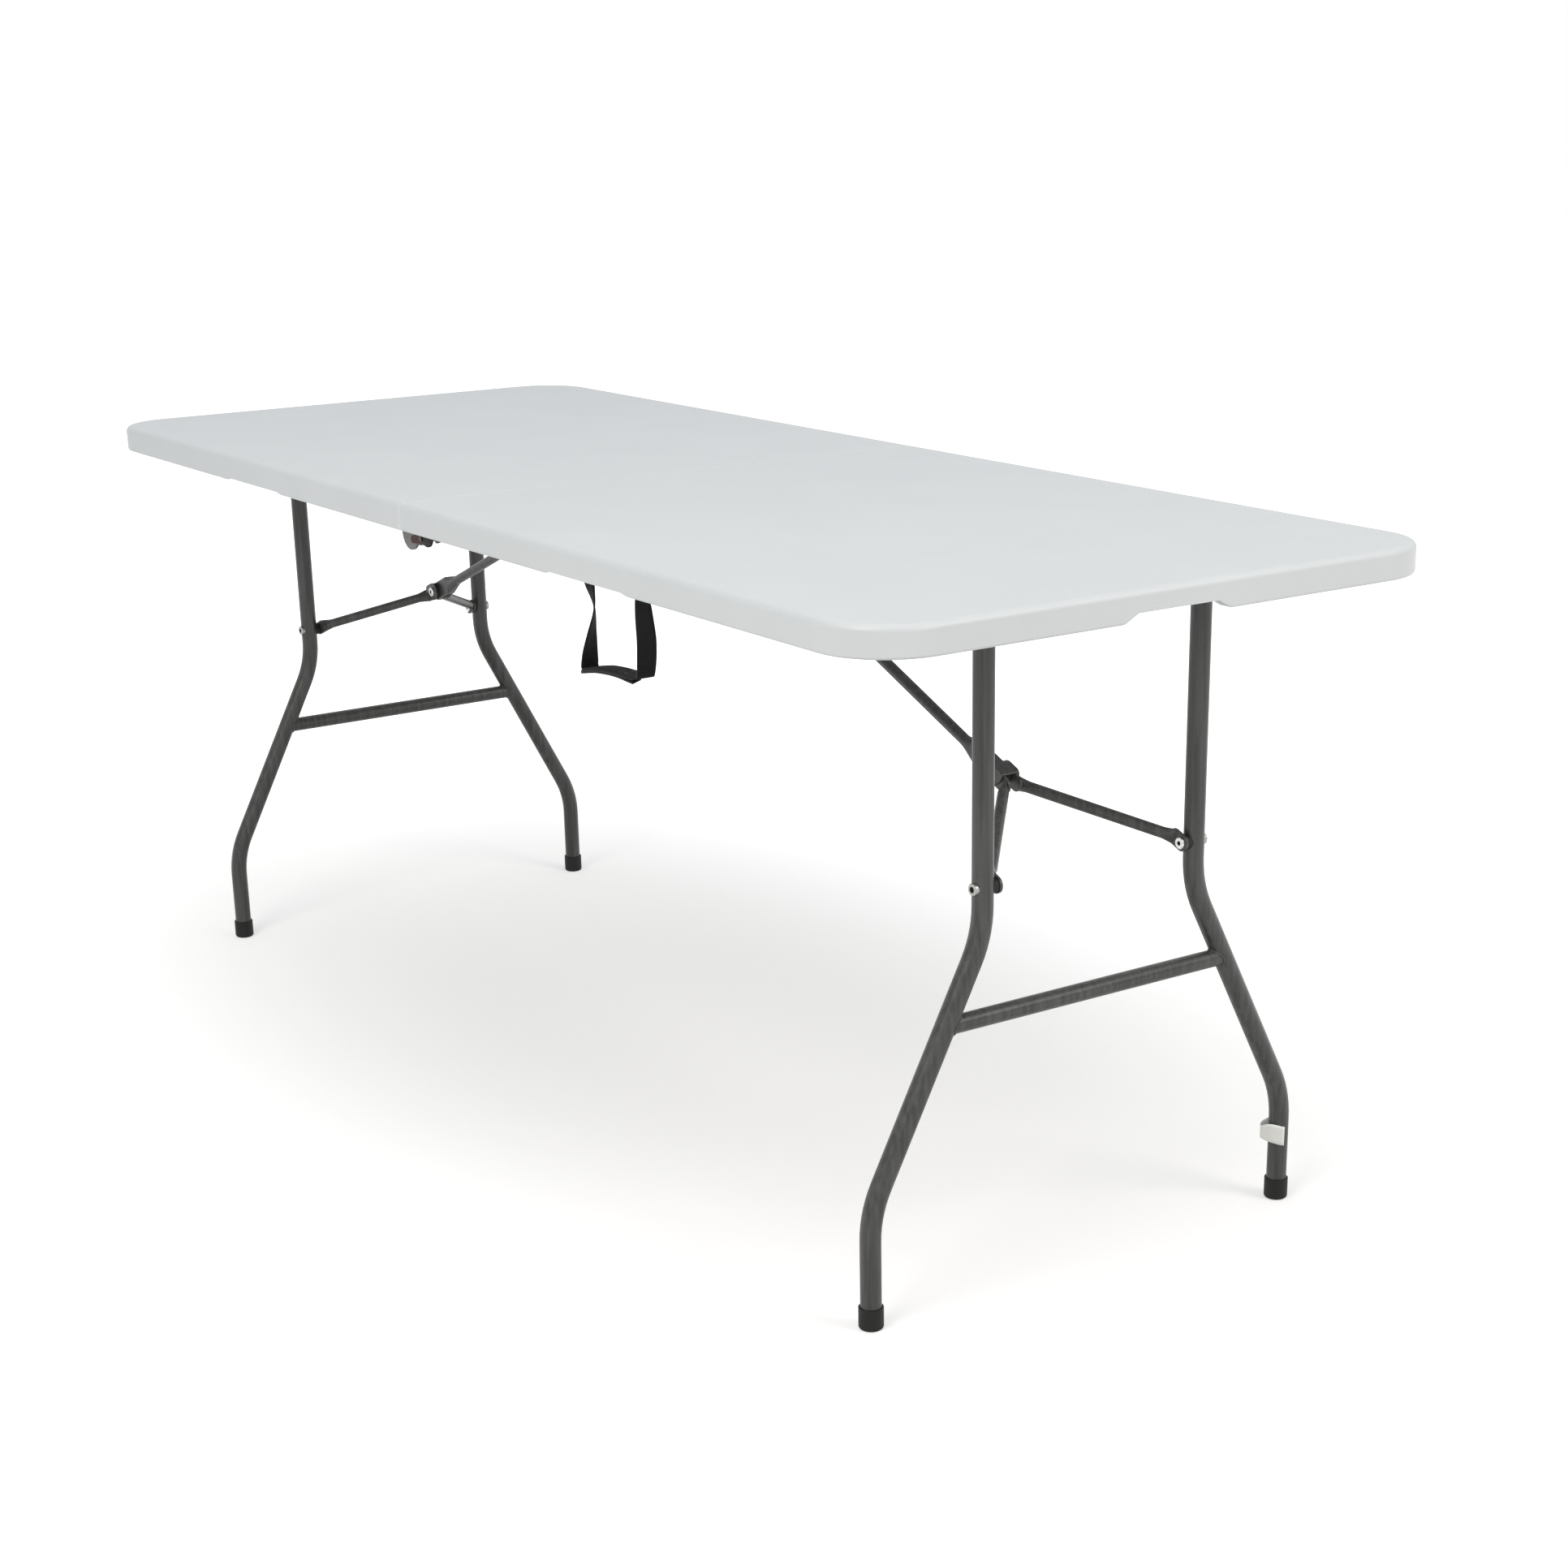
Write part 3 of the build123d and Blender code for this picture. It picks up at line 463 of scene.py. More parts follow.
@dataclass(frozen=True)
class LeverPlastic:
    """Plastic of the latch lever, red at the pivot, with painted shade at the thumb end: near black
    there, as if in shadow.
    """

    name: str
    colour: Colour
    # Near-black colour of the thumb end: painted shade that stands in for the shadow it sits in.
    thumb: Colour
    change: tuple[float, float]
    roughness: tuple[float, float] = (0.34, 0.5)
    specular: float = 0.12
    matt_per_metre: float = 1400.0
    matt_depth: float = 0.04 * MM

    def material(self) -> bpy.types.Material:
        """Make the material.

        Returns:
            The material.
        """
        graph = Graph(self.name)
        at = graph.place()
        matt = graph.noise(at, self.matt_per_metre)
        # Along X the red gives way to the painted shade of the thumb end.
        share = graph.span(graph.split(at)["X"], self.change, (0, 1))
        graph.feed(
            Base_Color=graph.tint(share, self.colour, self.thumb),
            Roughness=graph.span(matt, NOISE_REACH, self.roughness),
            Normal=graph.bump(matt, self.matt_depth),
        )
        graph.fix(IOR=PAINT_IOR, Specular_IOR_Level=self.specular)
        return graph.material


@dataclass(frozen=True)
class WovenWebbing:
    """Flat webbing: ribs along it, crossed by the weft, on a UV map in metres, with painted shade in
    the grooves of the weave.
    """

    name: str
    colour: Colour
    shade: Colour
    roughness: float = 0.72
    specular: float = 0.14
    sheen: tuple[float, float] = (0.03, 0.5)
    rib_pitch: float = 1.6 * MM
    weft_pitch: float = 1.1 * MM
    weave_depth: float = 0.25 * MM
    weft_low: float = 0.35
    wear_per_metre: float = 180.0
    worn: float = 0.6

    def material(self) -> bpy.types.Material:
        """Make the material.

        Returns:
            The material.
        """
        graph = Graph(self.name)
        spot = graph.split(graph.add("ShaderNodeTexCoord").outputs["UV"])
        turn = 2 * math.pi
        across = graph.math("SINE", graph.math("MULTIPLY", spot["X"], turn / self.rib_pitch))
        row = graph.math("MULTIPLY", spot["Y"], turn / self.weft_pitch)
        along = graph.math("SINE", graph.math("ADD", row, graph.math("MULTIPLY", across, turn / 4)))
        weft = graph.span(along, (-1, 1), (self.weft_low, 1))
        # The colour follows the weave's height, paler on the ribs' tops and darker in the grooves:
        # painted shade in the grooves, varied in patches by a noise.
        weave = graph.math("MULTIPLY", graph.math("ABSOLUTE", across), weft)
        rib_patches = graph.noise(graph.place(), self.wear_per_metre, 3.0)
        share = graph.math("MULTIPLY", weave, graph.span(rib_patches, NOISE_REACH, (self.worn, 1)))
        graph.feed(
            Base_Color=graph.tint(share, self.colour, self.shade),
            Normal=graph.bump(weave, self.weave_depth),
        )
        graph.fix(Roughness=self.roughness, Specular_IOR_Level=self.specular,
                  Sheen_Weight=self.sheen[0], Sheen_Roughness=self.sheen[1])
        return graph.material


@dataclass(frozen=True)
class TagFilm:
    """Thin white film, creased, with a duller panel inside its margin, on a UV map in metres."""

    name: str
    panel: Colour
    rim: Colour
    width: float
    margin: float = 2.6 * MM
    soft: float = 0.6 * MM
    roughness: tuple[float, float] = (0.4, 0.6)
    crease_per_metre: float = 500.0
    crease_depth: float = 0.12 * MM
    clear: float = 0.4
    clear_depth: float = 3 * MM

    def material(self) -> bpy.types.Material:
        """Make the material.

        Returns:
            The material.
        """
        graph = Graph(self.name)
        spot = graph.split(graph.add("ShaderNodeTexCoord").outputs["UV"])
        edge = self.width / 2 - self.margin
        across = graph.math("ABSOLUTE", spot["X"])
        side = graph.span(across, (edge - self.soft, edge + self.soft), (0, 1))
        end = graph.span(spot["Y"], (self.margin - self.soft, self.margin + self.soft), (1, 0))
        crease = graph.noise(graph.place(), self.crease_per_metre, 3.0)
        graph.feed(
            Base_Color=graph.tint(graph.math("MAXIMUM", side, end), self.panel, self.rim),
            Roughness=graph.span(crease, NOISE_REACH, self.roughness),
            Normal=graph.bump(crease, self.crease_depth),
        )
        graph.fix(IOR=PAINT_IOR, Subsurface_Weight=self.clear, Subsurface_Radius=(1.0, 1.0, 1.0),
                  Subsurface_Scale=self.clear_depth)
        return graph.material


FINISHES: dict[Slot, Any] = {
    Slot.TOP: MouldedPlastic("moulded_top", (0.705, 0.726, 0.752), (0.69, 0.711, 0.737)),
    Slot.RAIL: CoatedSteel("rail_paint", (0.15, 0.155, 0.16), (0.12, 0.124, 0.128)),
    Slot.LEG: CoatedSteel("leg_powder_coat", (0.082, 0.082, 0.08), (0.046, 0.046, 0.045)),
    Slot.BRIGHT: PlatedSteel("plated_steel", (0.7, 0.7, 0.69), (0.52, 0.52, 0.51)),
    Slot.HINGE: CoatedSteel("hinge_paint", (0.15, 0.152, 0.143), (0.115, 0.117, 0.11)),
    Slot.NYLON: SolidPlastic(
        "nylon_bush", (0.72, 0.71, 0.67), (0.66, 0.65, 0.61), (0.4, 0.55)),
    Slot.BLACK: SolidPlastic(
        "black_rubber", (0.008, 0.008, 0.008), (0.012, 0.012, 0.012), (0.5, 0.65), specular=0.3),
    # The latch lever's near-black thumb colour is painted shade.
    Slot.LATCH: LeverPlastic(
        "latch_red", (0.05, 0.006, 0.01), (0.012, 0.01, 0.01), (14 * MM, 22 * MM)),
    Slot.WEBBING: WovenWebbing("black_webbing", (0.005, 0.005, 0.0054), (0.018, 0.018, 0.019)),
    Slot.TAG: TagFilm("tag_film", (0.9, 0.905, 0.86), (0.98, 0.98, 0.95), TAG_WIDTH),
}
# Paler webbing for the grip's lower layers: partly their fuzzy cut edges, partly a painted highlight
# on the layers' edges.
GRIP_WEBBING = WovenWebbing("grip_webbing", (0.014, 0.014, 0.0145), (0.05, 0.05, 0.051))
THREAD = SolidPlastic(
    "handle_thread", (0.1, 0.1, 0.102), (0.07, 0.07, 0.072), (0.6, 0.75), 2600.0, 0.08 * MM)
# Near-black steel: the blackened pins' own colour, and painted shade on the inner hinge plates of end
# a.
DARK_PIN_AND_PAINTED_SHADE = CoatedSteel("dark_pin_and_painted_shade", (0.03, 0.026, 0.026), (0.022, 0.02, 0.02))
DULL_ZINC = PlatedSteel("dull_zinc", (0.4, 0.4, 0.39), (0.28, 0.28, 0.27), (0.3, 0.45))
# Near black for the discs in rivet hollows and the crosses in screw recesses: painted shade, where the
# hollows lie in shadow.
HOLLOW_SHADE = SolidPlastic(
    "painted_hollow_shade", (0.006, 0.006, 0.006), (0.01, 0.01, 0.01), (0.7, 0.8), specular=0.1)
OWN_FINISHES: dict[str, Any] = {
    # The inner hinge plates of end a are near black as painted shade, as if in the latch lever's
    # shadow.
    "hinge_plate_near_a": DARK_PIN_AND_PAINTED_SHADE,
    "hinge_plate_far_a": DARK_PIN_AND_PAINTED_SHADE,
    "hinge_pin_near": DARK_PIN_AND_PAINTED_SHADE,
    "hinge_pin_far": DARK_PIN_AND_PAINTED_SHADE,
    "latch_pin": DARK_PIN_AND_PAINTED_SHADE,
    "leg_rivets_a": DULL_ZINC,
    "leg_rivets_b": DULL_ZINC,
    "knuckle_rivet_a": FINISHES[Slot.BRIGHT],
    "knuckle_rivet_b": FINISHES[Slot.BRIGHT],
}


class Workshop:
    """Turns meshes into pieces of the table, and keeps one material for each finish."""

    def __init__(self, frame: dict[str, Any]) -> None:
        """Keep the frame.
        """
        self.frame = frame
        self.made: dict[str, bpy.types.Material] = {}

    def material(self, finish: Any) -> bpy.types.Material:
        """Give a finish's material, made once.

        Args:
            finish: The finish.

        Returns:
            Its material.
        """
        if finish.name not in self.made:
            self.made[finish.name] = finish.material()
        return self.made[finish.name]

    def node(self, name: str) -> bpy.types.Object:
        """Give a CAD node's object."""
        return self.frame["nodes"][name]

    def dress_nodes(self) -> None:
        """Give every CAD node the finish of its slot."""
        for part in self.frame["record"]["subparts"]:
            mesh = self.node(part["node"]).data
            finish = OWN_FINISHES.get(part["node"], FINISHES[Slot(part["material_slot"])])
            mesh.materials.clear()
            mesh.materials.append(self.material(finish))
        LOG.info("dressed %d nodes", len(self.frame["nodes"]))

    def surface(self, node: str) -> BVHTree:
        """Give a node's surface, to lay small pieces on."""
        mesh = self.node(node).data
        return BVHTree.FromPolygons([v.co for v in mesh.vertices], [p.vertices for p in mesh.polygons])

    def solids(self, node: str) -> list[tuple[Vector, Vector]]:
        """Give the boxes of a node's separate solids.

        Args:
            node: The node's name.

        Returns:
            Lowest and highest corner of each solid.
        """
        shape = bmesh.new()
        shape.from_mesh(self.node(node).data)
        bmesh.ops.remove_doubles(shape, verts=shape.verts, dist=0.001 * MM)
        boxes = []
        waiting = set(shape.verts)
        while waiting:
            group = [waiting.pop()]
            for vert in group:
                for edge in vert.link_edges:
                    other = edge.other_vert(vert)
                    if other in waiting:
                        waiting.remove(other)
                        group.append(other)
            corners = [tuple(vert.co) for vert in group]
            boxes.append((tuple(map(min, zip(*corners))), tuple(map(max, zip(*corners)))))
        shape.free()
        return [(Vector(low), Vector(high)) for low, high in sorted(boxes)]

    def piece(self, name: str, shape: BMesh, finish: Any, slot: Slot,
              smooth: bool = True) -> bpy.types.Object:
        """Make a finished object of a mesh.

        Args:
            name: The piece's name.
            shape: Its mesh, which is used up.
            finish: Its finish.
            slot: The record's slot that it belongs to; not used.
            smooth: Whether its faces are shaded smooth.

        Returns:
            The object, at the origin.
        """
        mesh = bpy.data.meshes.new(name)
        for face in shape.faces:
            face.smooth = smooth
        shape.to_mesh(mesh)
        shape.free()
        mesh.materials.append(self.material(finish))
        piece = bpy.data.objects.new(name, mesh)
        bpy.context.scene.collection.objects.link(piece)
        LOG.info("made %s with %d faces", name, len(mesh.polygons))
        return piece


@dataclass(frozen=True)
class Station:
    """One place along a strap: its middle, and its way across, as long as its share of the width."""

    at: Vector
    across: Vector


def station(x: float, y: float, z: float, across: Sequence[float]) -> Station:
    """Give a station from sizes in millimetres.

    Args:
        x: Place along the table.
        y: Place across it.
        z: Height.
        across: Way of the strap's width.

    Returns:
        The station, in metres.
    """
    return Station(Vector((x, y, z)) * MM, Vector(across).normalized())


def level(turn: float, sign: int = 1) -> tuple[float, float, float]:
    """Give a level way across a hanging strap, turned from X by some degrees."""
    return (sign * math.cos(math.radians(turn)), sign * math.sin(math.radians(turn)), 0.0)


def tilted(turn: float) -> tuple[float, float, float]:
    """Give the way across a lying strap, with its near edge lowered by some degrees."""
    return (0.0, -math.cos(math.radians(turn)), -math.sin(math.radians(turn)))


def smooth_line(stations: Sequence[Station], steps: int) -> list[Station]:
    """Run an even curve through stations.

    Args:
        stations: Places that the curve passes.
        steps: Pieces between two of them.

    Returns:
        The stations along the curve.
    """
    padded = [stations[0], *stations, stations[-1]]
    line: list[Station] = []
    for before, start, end, after in zip(padded, padded[1:], padded[2:], padded[3:]):
        for step in range(steps):
            t = step / steps
            share = (1 - t) * start.across.length + t * end.across.length
            parts = []
            for a, b, c, d in ((before.at, start.at, end.at, after.at),
                               (before.across, start.across, end.across, after.across)):
                square = 2 * a - 5 * b + 4 * c - d
                cubic = 3 * (b - c) + d - a
                parts.append(b + 0.5 * t * (c - a + t * (square + t * cubic)))
            line.append(Station(parts[0], parts[1].normalized() * share))
    line.append(stations[-1])
    return line


def strip_mesh(line: Sequence[Station], width: float, columns: int) -> BMesh:
    """Extrude a strip along a line, with a UV map in metres.

    Args:
        line: Stations along the strip.
        width: Its width in metres.
        columns: Faces across it.

    Returns:
        The strip's mesh.
    """
    shape = bmesh.new()
    uv = shape.loops.layers.uv.new("weave")
    shares = [column / columns - 0.5 for column in range(columns + 1)]
    row = [shape.verts.new(line[0].at + line[0].across * width * share) for share in shares]
    edges = [shape.edges.new(pair) for pair in zip(row, row[1:])]
    places = {vert: (width * share, 0.0) for vert, share in zip(row, shares)}
    run = 0.0
    for last, stop in zip(line, line[1:]):
        run += (stop.at - last.at).length
        made = bmesh.ops.extrude_edge_only(shape, edges=edges)["geom"]
        verts = [item for item in made if isinstance(item, BMVert)]
        edges = [item for item in made
                 if isinstance(item, BMEdge) and all(v in verts for v in item.verts)]
        for vert in verts:
            share = min(shares, key=lambda s: (last.at + last.across * width * s - vert.co).length)
            vert.co = stop.at + stop.across * width * share
            places[vert] = (width * share, run)
    for face in shape.faces:
        for loop in face.loops:
            loop[uv].uv = places[loop.vert]
    bmesh.ops.recalc_face_normals(shape, faces=shape.faces)
    return shape


def finish_strip(piece: bpy.types.Object, thickness: float) -> None:
    """Give a strip its thickness.

    Args:
        piece: The strip.
        thickness: Its thickness in metres.
    """
    solid = piece.modifiers.new("thickness", "SOLIDIFY")
    solid.thickness = thickness
    solid.offset = 0.0
    solid.use_even_offset = True


def stitch(shape: BMesh, start: Vector, end: Vector, radius: float) -> None:
    """Add one thread stitch: a small bar with sunk ends.

    Args:
        shape: Mesh to add to.
        start: Where the thread comes up.
        end: Where it goes down.
        radius: The thread's radius.
    """
    way = end - start
    turn = way.to_track_quat("Z", "Y").to_matrix().to_4x4()
    place = Matrix.Translation((start + end) / 2) @ turn
    made = bmesh.ops.create_uvsphere(
        shape, u_segments=8, v_segments=6, radius=1.0,
        matrix=place @ Matrix.Diagonal((radius, radius, way.length / 2, 1.0)))
    faces = {face for vert in made["verts"] for face in vert.link_faces}
    bmesh.ops.recalc_face_normals(shape, faces=list(faces))


@dataclass
class CarryHandle:
    """Webbing handle: one strap, given from left to right, that twists into a grip of sewn layers."""

    workshop: Workshop
    width: float = 20 * MM
    thickness: float = 1.7 * MM
    layer_pitch: float = 1.95 * MM
    steps: int = 8
    columns: int = 8
    thread: float = 0.35 * MM
    stitch_length: float = 2.6 * MM
    stitch_share: tuple[float, float] = (0.12, 0.88)
    seam_reach: tuple[float, float] = (461 * MM, 488 * MM)
    seam_top: float = 624 * MM
    seam_tilt: float = 0.1
    seam_edge: float = 0.38
    seam_rise: float = 0.52
    layer_sags: Sequence[float] = (0.2, 2.2)
    layer_slant: Sequence[float] = (0.55, -0.83, 0.0)
    strap: Sequence[tuple[float, float, float, Sequence[float]]] = (
        (386.5, -335.3, 723, level(0)), (386.5, -335.3, 707, level(0)),
        (387.2, -335.0, 699, level(-4)), (390.5, -333.0, 677, level(-30)),
        (386.0, -334.2, 652, level(-54)), (382.0, -335.0, 632, level(-76)),
        (380.2, -335.0, 620, level(-88)), (379.6, -335.0, 615.2, level(-90)),
        (380.8, -335.0, 613.0, tilted(0)), (385.0, -335.0, 613.6, tilted(0)),
        (400.0, -335.0, 616.6, tilted(0)), (415.0, -335.0, 618.9, tilted(1)),
        (440.0, -335.0, 620.9, tilted(1)), (465.0, -335.0, 621.7, tilted(0)),
        (486.0, -335.0, 621.8, tilted(0)), (492.0, -335.0, 622.2, tilted(0)),
        (494.2, -335.0, 625.0, level(88, -1)), (495.4, -334.8, 634, level(78, -1)),
        (496.6, -334.6, 647, level(66, -1)), (497.0, -334.6, 662, level(50, -1)),
        (495.0, -335.0, 682, level(33, -1)), (493.3, -335.2, 699, level(17, -1)),
        (493.0, -335.3, 707, level(0, -1)), (493.0, -335.3, 723, level(0, -1)),
    )

    def layer_stations(self, number: int) -> list[Station]:
        """Give the places along a lower layer of the grip, whose right end is cut at a slant.

        Args:
            number: Layers down from the strap.

        Returns:
            The layer's stations, from left to right.
        """
        drop = number * self.layer_pitch / MM
        sag = self.layer_sags[number - 1]
        run = ((378.6, 612.6), (386.0, 613.8), (400.0, 616.6), (415.0, 618.9), (440.0, 620.9),
               (462.0, 621.6 - 0.3 * sag))
        flat = [station(x, -335.4, z - drop, tilted(0)) for x, z in run]
        return [*flat, station(478.0, -336.4, 621.8 - drop - sag, self.layer_slant)]

    def seams(self, line: Sequence[Station]) -> BMesh:
        """Sew a box of stitches with a cross in it, at the right end of the grip.

        Args:
            line: The strap's line.

        Returns:
            The stitches' mesh.
        """
        shape = bmesh.new()
        low, high = self.seam_reach
        patch = [stop for stop in line if low < stop.at.x < high
                 and abs(stop.across.z) < self.seam_tilt and stop.at.z < self.seam_top]
        first, last = patch[0], patch[-1]
        edge = self.width * self.seam_edge
        up = Vector((0, 0, self.thickness * self.seam_rise))
        corners = [first.at + first.across * edge, last.at + last.across * edge,
                   last.at - last.across * edge, first.at - first.across * edge]
        corners = [corner + up for corner in corners]
        runs = list(zip(corners, corners[1:] + corners[:1]))
        runs += [(corners[0], corners[2]), (corners[1], corners[3])]
        for start, end in runs:
            count = max(2, round((end - start).length / self.stitch_length))
            for index in range(count):
                ends = [start.lerp(end, (index + share) / count) for share in self.stitch_share]
                stitch(shape, *ends, self.thread)
        return shape

    def strip(self, name: str, line: Sequence[Station], finish: WovenWebbing) -> bpy.types.Object:
        """Make one run of webbing.

        Args:
            name: The piece's name.
            line: Its stations.
            finish: Its weave.

        Returns:
            The piece.
        """
        shape = strip_mesh(line, self.width, self.columns)
        piece = self.workshop.piece(name, shape, finish, Slot.WEBBING)
        finish_strip(piece, self.thickness)
        return piece

    def build(self) -> None:
        """Make the strap, the grip's lower layers and the stitches."""
        line = smooth_line([station(*row) for row in self.strap], self.steps)
        strap = self.strip("handle_strap", line, FINISHES[Slot.WEBBING])
        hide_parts("handle_loop", "handle_tabs")
        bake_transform(strap)
        sewn = []
        for number in (1, 2):
            layer = smooth_line(self.layer_stations(number), self.steps)
            sewn.append(self.strip(f"handle_layer_{number}", layer, GRIP_WEBBING))
        sewn.append(self.workshop.piece("handle_stitching", self.seams(line), THREAD, Slot.WEBBING))
        for piece in sewn:
            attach(piece, "handle")


@dataclass
class LegTag:
    """Blank film tag that hangs askew round the foot of a far leg, with slack on one side."""

    workshop: Workshop
    width: float = TAG_WIDTH
    thickness: float = 0.7 * MM
    rise: float = 0.6 * MM
    steps: int = 10
    columns: int = 6
    front: Sequence[float] = (0.83, -0.56, 0.0)
    plan: Sequence[Sequence[float]] = (
        (5.0, 10.7, 0.0, 1.0), (1.5, 11.75, 1.0, 1.0), (-3.5, 11.9, 2.5, 1.0),
        (-9.0, 11.1, 3.8, 0.98), (-14.5, 8.4, 4.0, 0.88), (-18.6, 4.0, 3.2, 0.7),
        (-19.6, -0.8, 3.0, 0.64), (-17.4, -5.0, 4.0, 0.72), (-11.8, -7.8, 5.0, 0.86),
        (-5.0, -10.9, 5.3, 0.95), (1.0, -11.9, 5.2, 1.0), (6.5, -9.9, 4.8, 1.0),
    )

    def line(self) -> list[Station]:
        """Lay out the plan's rows: millimetres to the right, forward and up, and a share of the width.

        Returns:
            The stations from the film's free end in front to its end behind the leg.
        """
        low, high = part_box("leg_tag")
        foot_low, foot_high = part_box("foot_far_a")
        middle = (foot_low + foot_high) / 2
        middle.z = (low.z + high.z) / 2 + self.rise
        front = Vector(self.front).normalized()
        up = Vector((0, 0, 1))
        right = up.cross(front)
        stations = [Station(middle + (right * aside + front * ahead + up * lift) * MM, up * share)
                    for aside, ahead, lift, share in self.plan]
        return smooth_line(stations, self.steps)

    def build(self) -> None:
        """Make the tag on the leg that carries it."""
        line = self.line()
        shape = strip_mesh(line, self.width, self.columns)
        film = self.workshop.piece("leg_tag_film", shape, FINISHES[Slot.TAG], Slot.TAG)
        finish_strip(film, self.thickness)
        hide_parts("leg_tag")
        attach(film, "legs_a")


@dataclass
class LegWelds:
    """Weld beads of one leg set, where the crossbar and the pivot tube meet the legs."""

    workshop: Workshop
    end: End
    bead: float = 1.5 * MM
    swell: float = 0.16
    waves: int = 14
    around: int = 56
    ring: int = 8
    inset: float = 0.97
    top_reach: float = 60 * MM

    def lay(self, shape: BMesh, ring: Iterable[Vector], way: Vector, surface: BVHTree) -> None:
        """Lay one closed bead where a tube's outline meets a surface.

        Args:
            shape: Mesh to add to.
            ring: Places round the tube, off the surface.
            way: The way from the ring to the surface.
            surface: The surface.
        """
        hits = [surface.ray_cast(place, way)[0] for place in ring]
        path = [hit for hit in hits if hit is not None]
        loops = []
        for index, place in enumerate(path):
            ahead = path[(index + 1) % len(path)] - path[index - 1]
            turn = ahead.to_track_quat("Z", "Y").to_matrix().to_4x4()
            swell = 1.0 + self.swell * math.sin(index * 2 * math.pi * self.waves / len(path))
            made = bmesh.ops.create_circle(shape, segments=self.ring, radius=self.bead * swell,
                                           matrix=Matrix.Translation(place) @ turn)
            loops.append(self.rim(made["verts"]))
        for index, loop in enumerate(loops):
            bmesh.ops.bridge_loops(shape, edges=loop + loops[(index + 1) % len(loops)])

    @staticmethod
    def rim(verts: Sequence[BMVert]) -> list[BMEdge]:
        """Find the edges of a ring.

        Args:
            verts: The ring's vertices.

        Returns:
            The edges that join them.
        """
        wanted = set(verts)
        edges = {edge for vert in verts for edge in vert.link_edges if set(edge.verts) <= wanted}
        return sorted(edges, key=lambda edge: min(verts.index(v) for v in edge.verts))

    def build(self) -> None:
        """Make the beads of the crossbar and of the leg tops."""
        tail = self.end.word
        shape = bmesh.new()
        bar_low, bar_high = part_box(f"leg_crossbar_{tail}")
        bar_mid = (bar_low + bar_high) / 2
        bar_radius = (bar_high.z - bar_low.z) / 2
        pivot_low, pivot_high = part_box(f"leg_pivot_tube_{tail}")
        pivot_mid = (pivot_low + pivot_high) / 2
        tube_radius = (pivot_high.z - pivot_low.z) / 2
        pivot = self.workshop.surface(f"leg_pivot_tube_{tail}")
        reach = self.inset * tube_radius
        turns = [2 * math.pi * step / self.around for step in range(self.around)]
        for side in Side:
            leg = self.workshop.surface(f"leg_{side.word}_{tail}")
            ring = [Vector((bar_mid.x + bar_radius * math.cos(t), 0.0,
                            bar_mid.z + bar_radius * math.sin(t))) for t in turns]
            self.lay(shape, ring, Vector((0, side.way, 0)), leg)
            leg_y = self.leg_top(f"leg_{side.word}_{tail}", pivot_mid.z)
            ring = [Vector((pivot_mid.x + reach * math.cos(t), leg_y + reach * math.sin(t),
                            pivot_low.z - tube_radius)) for t in turns]
            self.lay(shape, ring, Vector((0, 0, 1)), pivot)
        bmesh.ops.recalc_face_normals(shape, faces=shape.faces)
        welds = self.workshop.piece(f"leg_welds_{tail}", shape, FINISHES[Slot.LEG], Slot.LEG)
        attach(welds, f"legs_{tail}")

    def leg_top(self, node: str, height: float) -> float:
        """Give the place across the table of a leg's straight top.

        Args:
            node: The leg's node.
            height: Height of the pivot.

        Returns:
            The middle of the leg there.
        """
        verts = self.workshop.node(node).data.vertices
        across = [vert.co.y for vert in verts if vert.co.z > height - self.top_reach]
        return (min(across) + max(across)) / 2


@dataclass
class RivetHollows:
    """Dark discs in the hollows of the heads of one end's tubular rivets: painted shade of the
    hollows.
    """

    workshop: Workshop
    end: End
    radius: float = 2.4 * MM
    leg_radius: float = 3.2 * MM
    depth: float = 0.3 * MM
    sides: int = 24

    def lay(self, node: str, body: str, ways: Sequence[int], radius: float) -> None:
        """Put a dark disc of painted shade in the hollow of some of the heads of a node's rivets.

        Args:
            node: The rivets' node.
            body: The body that carries them.
            ways: 1 for the heads away from the table's middle line, -1 for those towards it.
            radius: The hollow's radius.
        """
        surface = self.workshop.surface(node)
        shape = bmesh.new()
        for low, high in self.workshop.solids(node):
            middle = (low + high) / 2
            for way in ways:
                out = way * (1 if middle.y >= 0 else -1)
                tip = high.y if out > 0 else low.y
                start = Vector((middle.x, tip + out * MM, middle.z))
                floor = surface.ray_cast(start, Vector((0, -out, 0)))[0]
                turn = Matrix.Rotation(math.pi / 2, 4, "X")
                bmesh.ops.create_cone(
                    shape, cap_ends=True, segments=self.sides, radius1=radius, radius2=radius,
                    depth=self.depth, matrix=Matrix.Translation(floor) @ turn)
        # The discs are painted shade in the rivet hollows.
        piece = self.workshop.piece(f"{node}_hollows", shape, HOLLOW_SHADE, Slot.BRIGHT, smooth=False)
        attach(piece, body)

    def build(self) -> None:
        """Make the painted shade in the hollows of the leg, arm and knuckle rivets."""
        tail = self.end.word
        self.lay(f"leg_rivets_{tail}", f"legs_{tail}", (1,), self.leg_radius)
        self.lay(f"arm_rivets_{tail}", f"lower_arms_{tail}", (-1,), self.radius)
        self.lay(f"knuckle_rivet_{tail}", f"upper_arm_{tail}", (1, -1), self.radius)


